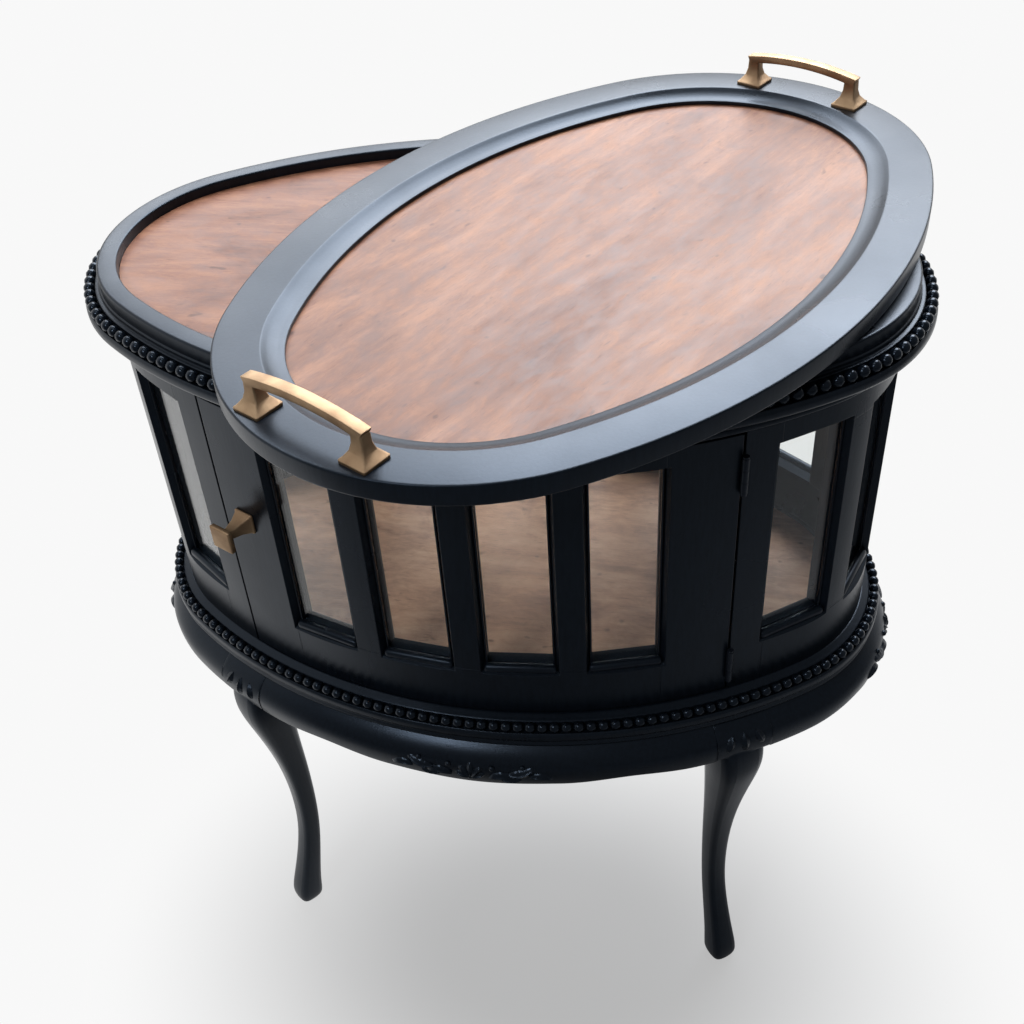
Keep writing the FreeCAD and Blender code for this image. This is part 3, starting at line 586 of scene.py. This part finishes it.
# %% [markdown]
# ## Small helpers
# Each piece is made in the same few steps: start from a primitive, shape it in edit mode, close the
# mesh, and hand it to the body it rides on. These helpers hold the steps that every piece shares.

# %% Helpers
SMOOTH_ANGLE = math.radians(40.0)
MERGE_APART = 0.00001


def edit_all():
    bpy.ops.object.mode_set(mode="EDIT")
    bpy.ops.mesh.select_all(action="SELECT")


def close_mesh(angle=SMOOTH_ANGLE):
    """Merge doubles, turn the faces outward and smooth the shading, from edit mode."""
    bpy.ops.mesh.select_all(action="SELECT")
    bpy.ops.mesh.remove_doubles(threshold=MERGE_APART)
    bpy.ops.mesh.normals_make_consistent(inside=False)
    bpy.ops.object.mode_set(mode="OBJECT")
    bpy.ops.object.shade_smooth_by_angle(angle=angle)


def apply_modifier(piece, kind, **settings):
    modifier = piece.modifiers.new(kind.lower(), kind)
    for key, value in settings.items():
        setattr(modifier, key, value)
    bpy.ops.object.modifier_apply(modifier=modifier.name)


def copy_to(model, matrix):
    """A copy with its own mesh, moved in the mesh."""
    copy = model.copy()
    copy.data = model.data.copy()
    copy.data.transform(matrix)
    bpy.context.collection.objects.link(copy)
    return copy


def select_only(*pieces):
    """Select these pieces and nothing else, and make the first one active."""
    bpy.ops.object.select_all(action="DESELECT")
    for piece in pieces:
        piece.select_set(True)
    bpy.context.view_layer.objects.active = pieces[0]


def join(name, pieces):
    select_only(*pieces)
    bpy.ops.object.join()
    joined = bpy.context.object
    joined.name = name
    return joined


def finish_piece(piece, body, slot, material, *replaced):
    """Dress a piece, hand it to its body and hide the solids that it stands for."""
    piece.data.materials.clear()
    piece.data.materials.append(material)
    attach(piece, body)
    if replaced:
        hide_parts(*replaced)
    print(piece.name, len(piece.data.polygons), "faces on", body)


print("piece helpers: edit_all, close_mesh, apply_modifier, copy_to, select_only, join, finish_piece")

# %% [markdown]
# ## Mouldings by spinning
# A moulding is one section carried round the oval. By hand it would be turned on a lathe in four
# pieces, and Spin does the same here: it sweeps an outline about a centre, and its end is left
# selected, so four spins about the four centres close the ring. The corners of the outline are
# rounded first, because a painted edge is never sharp and its highlight is what makes it look real.

# %% Spin the mouldings
MILLIMETRE = 0.001
SPIN_STEPS = 44
CORNER_SHARE = 0.45


def soften(corners, steps=4):
    """Round each (offset, height, radius) corner of a closed outline with a short curve."""
    points = []
    for index, (offset, height, radius) in enumerate(corners):
        here = Vector((offset, height))
        before = Vector(corners[index - 1][:2]) - here
        after = Vector(corners[(index + 1) % len(corners)][:2]) - here
        start = here + before.normalized() * min(radius, CORNER_SHARE * before.length)
        stop = here + after.normalized() * min(radius, CORNER_SHARE * after.length)
        for step in range(steps + 1):
            share = step / steps
            points.append(start * (1 - share) ** 2 + here * 2 * share * (1 - share) + stop * share ** 2)
    return points


def spin_ring(name, oval, corners):
    """Carry a section, given in millimetres, round an oval."""
    section = soften([tuple(MILLIMETRE * value for value in corner) for corner in corners])
    bpy.ops.object.select_all(action="DESELECT")
    bpy.ops.mesh.primitive_circle_add(vertices=len(section), fill_type="NOTHING")
    ring = bpy.context.object
    ring.name = name
    for vertex, (offset, height) in zip(ring.data.vertices, section):
        vertex.co = oval.point(oval.arcs[0][2], offset, height)
    edit_all()
    for centre, radius, start, stop in oval.arcs:
        bpy.ops.mesh.spin(steps=SPIN_STEPS, angle=start - stop, center=centre, axis=UP)
    close_mesh()
    return ring


RIM_SECTION = (
    (-18.0, 770.0, 0.5), (5.2, 770.0, 0.3), (5.2, 772.6, 0.8), (1.6, 772.8, 0.4), (1.3, 776.0, 0.9),
    (0.0, 776.4, 0.2), (0.0, 790.0, 2.4), (-18.0, 790.0, 2.0))
TOP_SECTION = (
    (-31.0, 745.0, 0.5), (-5.0, 745.0, 0.8), (-3.0, 748.4, 2.0), (2.0, 750.6, 2.0), (12.0, 751.6, 1.0),
    (16.4, 755.0, 3.0), (16.4, 761.6, 2.0), (14.4, 764.6, 0.8), (13.2, 763.4, 0.8), (5.2, 763.4, 0.8),
    (5.2, 770.0, 0.4), (-31.0, 770.0, 0.5))
FRIEZE_SECTION = (
    (-31.0, 730.0, 0.5), (-7.0, 730.0, 0.5), (-5.4, 731.5, 1.2), (-5.4, 735.0, 1.2), (-7.0, 736.5, 0.6),
    (-7.0, 745.0, 0.3), (-31.0, 745.0, 0.5))
BASE_SECTION = (
    (-50.0, 403.0, 0.5), (7.5, 403.0, 1.0), (10.5, 407.0, 2.0), (9.0, 412.0, 1.6), (11.5, 415.0, 1.6),
    (11.5, 421.4, 2.0), (9.8, 423.8, 0.8), (8.8, 422.6, 0.8), (1.1, 422.6, 0.8), (1.1, 429.4, 1.2),
    (-2.0, 430.8, 3.0), (-6.4, 433.0, 0.8), (-36.0, 433.0, 0.4), (-36.0, 421.0, 0.4), (-50.0, 421.0, 0.4))
for node, section in (
        ("rim_ring", RIM_SECTION), ("top_moulding", TOP_SECTION),
        ("frieze_ring", FRIEZE_SECTION), ("base_moulding", BASE_SECTION)):
    finish_piece(spin_ring("soft_" + node, BODY, section), "cabinet", "black_paint", black_paint, node)

# %% [markdown]
# ## The tray's frame
# The tray's frame is a wide flat border that falls in a slight hollow to a small step, and the wooden
# panel lies at the foot of the step. It could be spun where it lies, but then every centre would have
# to be turned. The ring is spun about the tray's own middle instead, and then its mesh is turned and
# laid on the rim.

# %% The tray's frame
TRAY_MIDDLE = Vector((0.092, 0.0, 0.0))
TRAY_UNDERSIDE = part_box("tray_rim")[0].z
TRAY_PLACE = Matrix.Translation(TRAY_MIDDLE + UP * TRAY_UNDERSIDE) @ Matrix.Rotation(TRAY_TURN, 4, "Z")
TRAY_SECTION = (
    (-2.0, 0.0, 0.8), (0.0, 1.6, 1.2), (0.0, 19.0, 1.8), (-38.0, 19.0, 0.8), (-43.0, 15.9, 2.4),
    (-49.0, 13.4, 3.0), (-56.0, 11.9, 0.4), (-56.0, 8.3, 0.2), (-51.0, 8.3, 0.2), (-51.0, 3.8, 0.2),
    (-60.0, 3.8, 0.4), (-60.0, 0.0, 0.6))
tray_frame = spin_ring("tray_frame", TRAY, TRAY_SECTION)
tray_frame.data.transform(TRAY_PLACE)
finish_piece(tray_frame, "tray", "black_paint", black_paint, "tray_rim")

# %% [markdown]
# ## Handles and knob
# The brass handles and the knob are castings: their edges are eased and their necks flow into the
# feet. They could be modelled again from a plate. A copy of each solid keeps its exact place instead:
# its loose triangles are merged, flat neighbours become whole faces, Bevel eases the sharp edges, and
# the shading runs smoothly over the steps of the necks.

# %% Handles and knob
CAST_EDGE = 0.0007
FLAT_ANGLE = math.radians(1.0)


def casting(name, node):
    piece = bpy.data.objects.new(name, nodes[node].data.copy())
    bpy.context.collection.objects.link(piece)
    select_only(piece)
    edit_all()
    bpy.ops.mesh.remove_doubles(threshold=MERGE_APART)
    bpy.ops.mesh.dissolve_limited(angle_limit=FLAT_ANGLE)
    bpy.ops.object.mode_set(mode="OBJECT")
    easing = {"width": CAST_EDGE, "segments": 2, "limit_method": "ANGLE", "angle_limit": SMOOTH_ANGLE}
    apply_modifier(piece, "BEVEL", **easing)
    bpy.ops.object.shade_smooth_by_angle(angle=SMOOTH_ANGLE)
    return piece


for name, node, body in (
        ("near_handle", "tray_handle_near", "tray"), ("far_handle", "tray_handle_far", "tray"),
        ("square_knob", "door_knob", "door")):
    finish_piece(casting(name, node), body, "satin_brass", satin_brass, node)

# %% [markdown]
# ## Rows of beads
# Both mouldings carry a row of turned beads on a ledge. An array along a curve could place them, but
# it would leave a gap where the ends meet. One bead is modelled and copied at an even pitch instead,
# which is adjusted so that a whole number fits round.

# %% Rows of beads
BEAD_PITCH = 1.14
BEAD_STRETCH = 1.12
BEAD_SIDES = 10
BEAD_RINGS = 6


def bead_row(name, node):
    """Beads as wide as the plain strip that they stand for; the pitch is a share of their width."""
    low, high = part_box(node)
    radius = (high.z - low.z) / 2.0
    offset = high.x - radius - BODY.point(math.pi / 2.0, 0.0, 0.0).x
    bpy.ops.object.select_all(action="DESELECT")
    bpy.ops.mesh.primitive_uv_sphere_add(segments=BEAD_SIDES, ring_count=BEAD_RINGS, radius=radius)
    bead = bpy.context.object
    edit_all()
    bpy.ops.transform.resize(value=(BEAD_STRETCH, 1.0, 1.0), center_override=(0.0, 0.0, 0.0))
    bpy.ops.object.mode_set(mode="OBJECT")
    bpy.ops.object.shade_smooth()
    count = round(BODY.spread(0.0, FULL_TURN, offset, 1)[1] / (2.0 * radius * BEAD_PITCH))
    copies = []
    for angle in BODY.spread(0.0, FULL_TURN, offset, count)[0][:-1]:
        place = BODY.point(angle, offset, low.z + radius)
        copies.append(copy_to(bead, Matrix.Translation(place) @ Matrix.Rotation(angle, 4, "Z")))
    bpy.data.objects.remove(bead)
    print(name, count, "beads")
    return join(name, copies)


for name, node in (("top_beads", "top_bead_strip"), ("base_beads", "base_bead_strip")):
    finish_piece(bead_row(name, node), "cabinet", "black_paint", bead_paint, node)

# %% [markdown]
# ## The apron
# The apron's face swells between the base and the legs, and its lower edge runs in slow waves. A spin
# would make the belly, but not the waves, so a flat grid is laid on that shape point by point.
# Solidify then gives it the thickness of a board and Bevel takes the sharpness off. A few thin slivers
# are left after that, and they are dissolved.

# %% The apron
APRON_TOP = 0.403
APRON_LEVEL = 0.362
APRON_BOARD = 0.022
APRON_ROUND = 0.0016
APRON_ANGLE = math.radians(50.0)
APRON_COLUMNS = 96
APRON_ROWS = 14
SLIVER = 0.00003
BELLY_REACH = 0.022
BELLY_HEIGHT = 0.3798
BELLY_BEND_ABOVE = 28.8
BELLY_BEND_BELOW = 8.5
LEG_FROM_MIDDLE = 0.2514
LEG_BLOCK = 0.054
LONG_WAVES = ((0.210, 0.002), (0.150, 0.007), (0.085, 0.001), (0.0, -0.003))
SHORT_WAVES = ((0.150, 0.002), (0.095, 0.008), (0.045, -0.006), (0.0, -0.016))


def belly(height):
    """How far the apron's face stands out at a height."""
    above = height - BELLY_HEIGHT
    bend = BELLY_BEND_ABOVE if above > 0.0 else BELLY_BEND_BELOW
    return BELLY_REACH - bend * above ** 2


def wave(waves, along):
    """The lower edge at a distance from the middle, eased from crest to crest."""
    along = abs(along)
    if along >= waves[0][0]:
        return APRON_LEVEL + waves[0][1]
    for (far, far_rise), (near, near_rise) in zip(waves, waves[1:]):
        if along >= near:
            share = (along - near) / (far - near)
            share = share * share * (3.0 - 2.0 * share)
            return APRON_LEVEL + near_rise + (far_rise - near_rise) * share


def apron(name, first, last, waves, axis, columns=APRON_COLUMNS, proud=0.0, board=APRON_BOARD):
    """A length of apron between two angles; its waves run along the axis with this number."""
    angles = BODY.spread(first, last, 0.0, columns)[0]
    bpy.ops.object.select_all(action="DESELECT")
    bpy.ops.mesh.primitive_grid_add(x_subdivisions=columns, y_subdivisions=APRON_ROWS, size=2.0)
    piece = bpy.context.object
    piece.name = name
    for vertex in piece.data.vertices:
        angle = angles[round((vertex.co.x + 1.0) / 2.0 * columns)]
        share = (vertex.co.y + 1.0) / 2.0
        low = wave(waves, BODY.point(angle, BELLY_REACH, 0.0)[axis])
        height = low + share * (APRON_TOP - low)
        vertex.co = BODY.point(angle, belly(height) + proud, height)
    apply_modifier(piece, "SOLIDIFY", thickness=board, offset=-1.0)
    bevel = {"width": APRON_ROUND, "segments": 3, "limit_method": "ANGLE", "angle_limit": APRON_ANGLE}
    apply_modifier(piece, "BEVEL", **bevel)
    edit_all()
    bpy.ops.mesh.dissolve_degenerate(threshold=SLIVER)
    close_mesh()
    return piece


side_radius = BODY.arcs[0][1]
leg_inside = (LEG_FROM_MIDDLE - LEG_BLOCK / 2.0) / side_radius
leg_outside = (LEG_FROM_MIDDLE + LEG_BLOCK / 2.0) / side_radius
for side, first, last, waves, axis in (
        ("front", -leg_inside, leg_inside, LONG_WAVES, 0),
        ("back", math.pi - leg_inside, math.pi + leg_inside, LONG_WAVES, 0),
        ("right", leg_outside, math.pi - leg_outside, SHORT_WAVES, 1),
        ("left", math.pi + leg_outside, FULL_TURN - leg_outside, SHORT_WAVES, 1)):
    smooth = apron("smooth_apron_" + side, first, last, waves, axis)
    finish_piece(smooth, "cabinet", "black_paint", black_paint, "apron_" + side)

# %% [markdown]
# ## Legs
# A leg is worked from one square length of wood: it bends in below the knee and out again to a soft
# pad. Here an eight-cornered ring is extruded upward from the pad, moved and resized at each step as
# the leg bends, and Subdivision Surface rounds the whole. One leg serves for all four. The head of
# each leg lies between two lengths of apron and carries the same belly on.

# %% Legs
LEG_STEPS = (
    (0.0, 6.0, 6.5), (0.2, 6.2, 11.2), (5.0, 7.0, 14.6), (18.0, 6.0, 14.6), (36.0, 2.2, 13.2),
    (70.0, -6.0, 11.6), (110.0, -14.0, 10.6), (151.0, -17.2, 10.6), (206.0, -16.2, 12.0),
    (256.0, -11.0, 15.0), (300.0, -4.4, 19.4), (332.0, 0.4, 23.2), (350.0, 0.6, 24.0),
    (364.0, -1.0, 24.0), (380.0, -5.0, 23.0))
LEG_CUT = 0.34
LEG_ROUNDING = 1.05
LEG_TURN = math.radians(10.0)
HEAD_COLUMNS = 16
HEAD_PROUD = 0.0006
HEAD_BOARD = 0.050
HEAD_EDGE = ((0.3, 0.0045), (0.0, 0.0045))


def shaft():
    """One leg about its own axis. A step is a height, a bend outward and half a width, in millimetres."""
    steps = [tuple(MILLIMETRE * value for value in step) for step in LEG_STEPS]
    low, out, half = steps[0]
    side = 1.0 - LEG_CUT
    corners = (
        (1, side), (side, 1), (-side, 1), (-1, side),
        (-1, -side), (-side, -1), (side, -1), (1, -side))
    bpy.ops.object.select_all(action="DESELECT")
    bpy.ops.mesh.primitive_circle_add(vertices=len(corners), fill_type="NGON")
    piece = bpy.context.object
    for vertex, (x, y) in zip(piece.data.vertices, corners):
        vertex.co = (x * half * LEG_ROUNDING, y * half * LEG_ROUNDING - out, low)
    edit_all()
    for high, next_out, next_half in steps[1:]:
        rise = (0.0, out - next_out, high - low)
        bpy.ops.mesh.extrude_region_move(TRANSFORM_OT_translate={"value": rise})
        share = next_half / half
        bpy.ops.transform.resize(value=(share, share, 1.0), center_override=(0.0, -next_out, high))
        low, out, half = high, next_out, next_half
    close_mesh()
    apply_modifier(piece, "SUBSURF", levels=2)
    bpy.ops.object.shade_smooth_by_angle(angle=SMOOTH_ANGLE)
    return piece


leg_angle = LEG_FROM_MIDDLE / side_radius
half_block = (leg_outside - leg_inside) / 2.0
model = shaft()
for spot, angle, turn in (
        ("front_right", leg_angle, LEG_TURN), ("front_left", -leg_angle, -LEG_TURN),
        ("back_right", math.pi - leg_angle, -LEG_TURN), ("back_left", math.pi + leg_angle, LEG_TURN)):
    place = Matrix.Translation(BODY.point(angle, 0.0, 0.0)) @ Matrix.Rotation(angle + turn, 4, "Z")
    head = apron(
        "head", angle - half_block, angle + half_block, HEAD_EDGE, 0,
        columns=HEAD_COLUMNS, proud=HEAD_PROUD, board=HEAD_BOARD)
    leg = join("soft_leg_" + spot, [copy_to(model, place), head])
    finish_piece(leg, "cabinet", "black_paint", black_paint, "leg_" + spot)
bpy.data.objects.remove(model)

# %% [markdown]
# ## A leaf and a berry
# The aprons and knees are carved with low leaves. They could be cut into the wood by a sculpting
# brush, but then no two would be alike. One function makes a leaf on a grid instead, with lobes, a rib
# and side veins, and lays it on the belly. Its back lies inside the wood, so it has no gap.

# %% A leaf and a berry
LEAF_COLUMNS = 18
LEAF_ROWS = 10
LEAF_SINK = 0.0015
LEAF_SET_IN = 0.0003
LEAF_ANGLE = math.radians(60.0)
LEAF_FULLNESS = 0.8
LEAF_TIP = 0.04
LOBES = 5.0
LOBE_DEPTH = 0.16
CROWN_ACROSS = 0.7
CROWN_ALONG = 0.6
CROWN_START = 0.12
CROWN_RISE = 0.75
RIB_WIDTH = 0.16
RIB_RISE = 0.35
VEIN_RISE = 0.18
VEIN_SLANT = 0.35
BERRY_SIDES = 12
BERRY_RINGS = 8


def on_belly(middle, across, height, lift):
    """A place on the apron's face, a distance across from an angle, lifted off it."""
    angle = middle + across / (BODY.arc(middle)[1] + BELLY_REACH)
    return BODY.point(angle, belly(height) + lift, height)


def leaf(middle, across, height, heading, length, width, curl, rise):
    """A leaf from its stem: heading in degrees from the horizontal, curl in degrees along its length."""
    bpy.ops.object.select_all(action="DESELECT")
    bpy.ops.mesh.primitive_grid_add(x_subdivisions=LEAF_COLUMNS, y_subdivisions=LEAF_ROWS, size=2.0)
    piece = bpy.context.object
    spine = [Vector((across, height))]
    for step in range(LEAF_COLUMNS):
        angle = math.radians(heading + curl * (step + 0.5) / LEAF_COLUMNS)
        spine.append(spine[-1] + Vector((math.cos(angle), math.sin(angle))) * length / LEAF_COLUMNS)
    for vertex in piece.data.vertices:
        step = round((vertex.co.x + 1.0) / 2.0 * LEAF_COLUMNS)
        along = step / LEAF_COLUMNS
        aside = vertex.co.y
        angle = math.radians(heading + curl * along)
        swell = max(math.sin(math.pi * along ** LEAF_FULLNESS), LEAF_TIP) ** LEAF_FULLNESS
        half = 0.5 * width * swell
        lobes = 1.0 - LOBE_DEPTH * abs(math.sin(LOBES * math.pi * along))
        flat = spine[step] + Vector((-math.sin(angle), math.cos(angle))) * aside * half * lobes
        ridge = math.sin(math.pi * min(along + CROWN_START, 1.0)) ** CROWN_ALONG
        crown = (1.0 - aside ** 2) ** CROWN_ACROSS * ridge
        rib = RIB_RISE * math.exp(-(aside / RIB_WIDTH) ** 2)
        slanted = along - VEIN_SLANT * abs(aside)
        veins = VEIN_RISE * math.cos(2.0 * LOBES * math.pi * slanted) * abs(aside)
        lift = rise * (crown * (CROWN_RISE + veins) + rib * crown) - LEAF_SET_IN
        vertex.co = on_belly(middle, flat.x, flat.y, lift)
    apply_modifier(piece, "SOLIDIFY", thickness=LEAF_SINK, offset=-1.0)
    edit_all()
    close_mesh(LEAF_ANGLE)
    return piece


def berry(middle, across, height, radius):
    bpy.ops.object.select_all(action="DESELECT")
    bpy.ops.mesh.primitive_uv_sphere_add(segments=BERRY_SIDES, ring_count=BERRY_RINGS, radius=radius)
    piece = bpy.context.object
    piece.data.transform(Matrix.Translation(on_belly(middle, across, height, 0.0)))
    bpy.ops.object.shade_smooth()
    return piece


print("leaf grid:", LEAF_COLUMNS, "by", LEAF_ROWS)

# %% [markdown]
# ## Carve the aprons and knees
# The pattern is traditional: a fan of leaves in the middle of an apron with curling ones to each side
# and round berries between, and three hanging leaves on a knee. The leaves of one side are listed once
# and mirrored for the other, so that the two sides stay alike.

# %% Carve the aprons and knees
FAN = ((90.0, 0.020), (52.0, 0.019), (128.0, 0.019), (18.0, 0.017), (162.0, 0.017))
FAN_HEIGHT = 0.371
FAN_WIDTH = 0.009
FAN_RISE = 0.0042
SIDE_LEAVES = (
    (0.018, 0.372, 30.0, 0.030, 0.012, -70.0, 0.0045),
    (0.036, 0.379, -10.0, 0.030, 0.012, 60.0, 0.0045),
    (0.056, 0.375, 25.0, 0.026, 0.010, -75.0, 0.0040),
    (0.030, 0.369, -12.0, 0.022, 0.008, 35.0, 0.0035),
)
SIDE_BERRIES = ((0.021, 0.3845, 0.0030), (0.050, 0.3868, 0.0026))
MIDDLE_BERRY = (0.0, 0.3705, 0.0034)
KNEE_LEAVES = ((0.0, -90.0, 0.024), (-0.012, -112.0, 0.020), (0.012, -68.0, 0.020))
KNEE_HEIGHT = 0.393
KNEE_WIDTH = 0.011
KNEE_RISE = 0.0040


def apron_carving(middle):
    """A fan of leaves in the middle, with leaves and berries to each side."""
    pieces = []
    for heading, length in FAN:
        pieces.append(leaf(middle, 0.0, FAN_HEIGHT, heading, length, FAN_WIDTH, 0.0, FAN_RISE))
    for side in (1.0, -1.0):
        for across, height, heading, length, width, curl, rise in SIDE_LEAVES:
            mirrored = heading if side > 0.0 else 180.0 - heading
            pieces.append(leaf(middle, side * across, height, mirrored, length, width, side * curl, rise))
        for across, height, radius in SIDE_BERRIES:
            pieces.append(berry(middle, side * across, height, radius))
    pieces.append(berry(middle, *MIDDLE_BERRY))
    return pieces


def knee_carving(middle):
    """Three leaves that hang from the apron over a knee."""
    pieces = []
    for across, heading, length in KNEE_LEAVES:
        pieces.append(leaf(middle, across, KNEE_HEIGHT, heading, length, KNEE_WIDTH, 0.0, KNEE_RISE))
    return pieces


carving = []
for middle in (0.0, math.pi / 2.0, math.pi, 1.5 * math.pi):
    carving += apron_carving(middle)
for middle in (leg_angle, -leg_angle, math.pi + leg_angle, math.pi - leg_angle):
    carving += knee_carving(middle)
finish_piece(join("apron_carving", carving), "cabinet", "black_paint", black_paint)

# %% [markdown]
# ## Find the panes
# Strips of moulding lie round every pane, so the place of each pane is needed first. It could be
# worked out from the oval again. A copy of the glass is split into single panes and measured instead,
# so that the strips follow the solids. Of the edges at a pane's foot, the shortest one that is longer
# than the glass is thick runs across the pane.

# %% Find the panes
GROOVE = 0.004
OVER_GLASS_THICKNESS = 0.01
GLAZED = {
    "door": ("door_pane_1", "door_pane_2", "door_pane_3", "door_pane_4"),
    "left_end": ("left_end_panes",),
    "right_end": ("right_end_panes",),
    "back": ("back_panes",),
}


def pane_places(node):
    """For each pane of a glass solid: its matrix (across, up, out) and its sight size."""
    select_only(copy_to(nodes[node], Matrix.Identity(4)))
    edit_all()
    bpy.ops.mesh.remove_doubles(threshold=MERGE_APART)
    bpy.ops.mesh.separate(type="LOOSE")
    bpy.ops.object.mode_set(mode="OBJECT")
    places = []
    for pane in list(bpy.context.selected_objects):
        points = [vertex.co.copy() for vertex in pane.data.vertices]
        middle = sum(points, Vector()) / len(points)
        foot = [point for point in points if point.z < middle.z]
        edges = [b - a for a in foot for b in foot if (b - a).length > OVER_GLASS_THICKNESS]
        across = min(edges, key=lambda edge: edge.length).normalized()
        out = across.cross(UP)
        if out.dot(Vector((middle.x, middle.y, 0.0))) < 0.0:
            across, out = -across, -out
        half_width = max((point - middle).dot(across) for point in foot)
        half_height = max(point.z for point in points) - middle.z
        face = max((point - middle).dot(out) for point in points)
        matrix = Matrix((across, UP, out)).transposed().to_4x4()
        matrix.translation = middle + out * face
        places.append((matrix, 2.0 * (half_width - GROOVE), 2.0 * (half_height - GROOVE)))
        bpy.data.objects.remove(pane)
    return places


panes = {}
for group, glass in GLAZED.items():
    panes[group] = [place for node in glass for place in pane_places(node)]
print("panes:", {group: len(places) for group, places in panes.items()})

# %% [markdown]
# ## Sills and linings
# Each pane sits in a recess with a thin bead of putty round it and a rounded sill at its foot. Behind
# the glass a matt lining covers the sides of the recess. Putty and lining are flat frames made by
# inset and extrude, and the sill is a bevelled bar. One long strip could run under several panes, but
# the panes of the ends face different ways, so each pane gets one of each.

# %% Sills and linings
PUTTY = 0.0016
PUTTY_DEPTH = 0.0026
LINING = 0.0008
LINING_FRONT = -0.0034
LINING_BACK = -0.0148
SILL_HEIGHT = 0.0090
SILL_DEPTH = 0.0085
SILL_ROUND = 0.0038


def flat_frame(width, height, thickness, front, back):
    """A frame as large as the sight opening, between two distances from the pane's outer face."""
    bpy.ops.object.select_all(action="DESELECT")
    bpy.ops.mesh.primitive_plane_add(size=1.0)
    piece = bpy.context.object
    edit_all()
    bpy.ops.transform.resize(value=(width, height, 1.0), center_override=(0.0, 0.0, 0.0))
    bpy.ops.transform.translate(value=(0.0, 0.0, back))
    bpy.ops.mesh.inset(thickness=thickness)
    bpy.ops.mesh.delete(type="ONLY_FACE")
    bpy.ops.mesh.select_all(action="SELECT")
    bpy.ops.mesh.extrude_region_move(TRANSFORM_OT_translate={"value": (0.0, 0.0, front - back)})
    close_mesh()
    return piece


def sill(width, height):
    bpy.ops.object.select_all(action="DESELECT")
    bpy.ops.mesh.primitive_cube_add(size=1.0)
    piece = bpy.context.object
    edit_all()
    size = (width + SILL_DEPTH / 2.0, SILL_HEIGHT, SILL_DEPTH)
    bpy.ops.transform.resize(value=size, center_override=(0.0, 0.0, 0.0))
    bpy.ops.transform.translate(value=(0.0, -height / 2.0, SILL_DEPTH / 2.0))
    close_mesh()
    apply_modifier(piece, "BEVEL", width=SILL_ROUND, segments=4)
    bpy.ops.object.shade_smooth_by_angle(angle=SMOOTH_ANGLE)
    return piece


for group, places in panes.items():
    strips = []
    linings = []
    for matrix, width, height in places:
        putty = flat_frame(width, height, PUTTY, PUTTY_DEPTH, 0.0)
        lining = flat_frame(width, height, LINING, LINING_FRONT, LINING_BACK)
        foot = sill(width, height)
        for strip in (putty, lining, foot):
            strip.data.transform(matrix)
        strips += [putty, foot]
        linings.append(lining)
    body = "door" if group == "door" else "cabinet"
    finish_piece(join(group + "_sills", strips), body, "black_paint", black_paint)
    finish_piece(join(group + "_linings", linings), body, "black_paint", matt_paint)
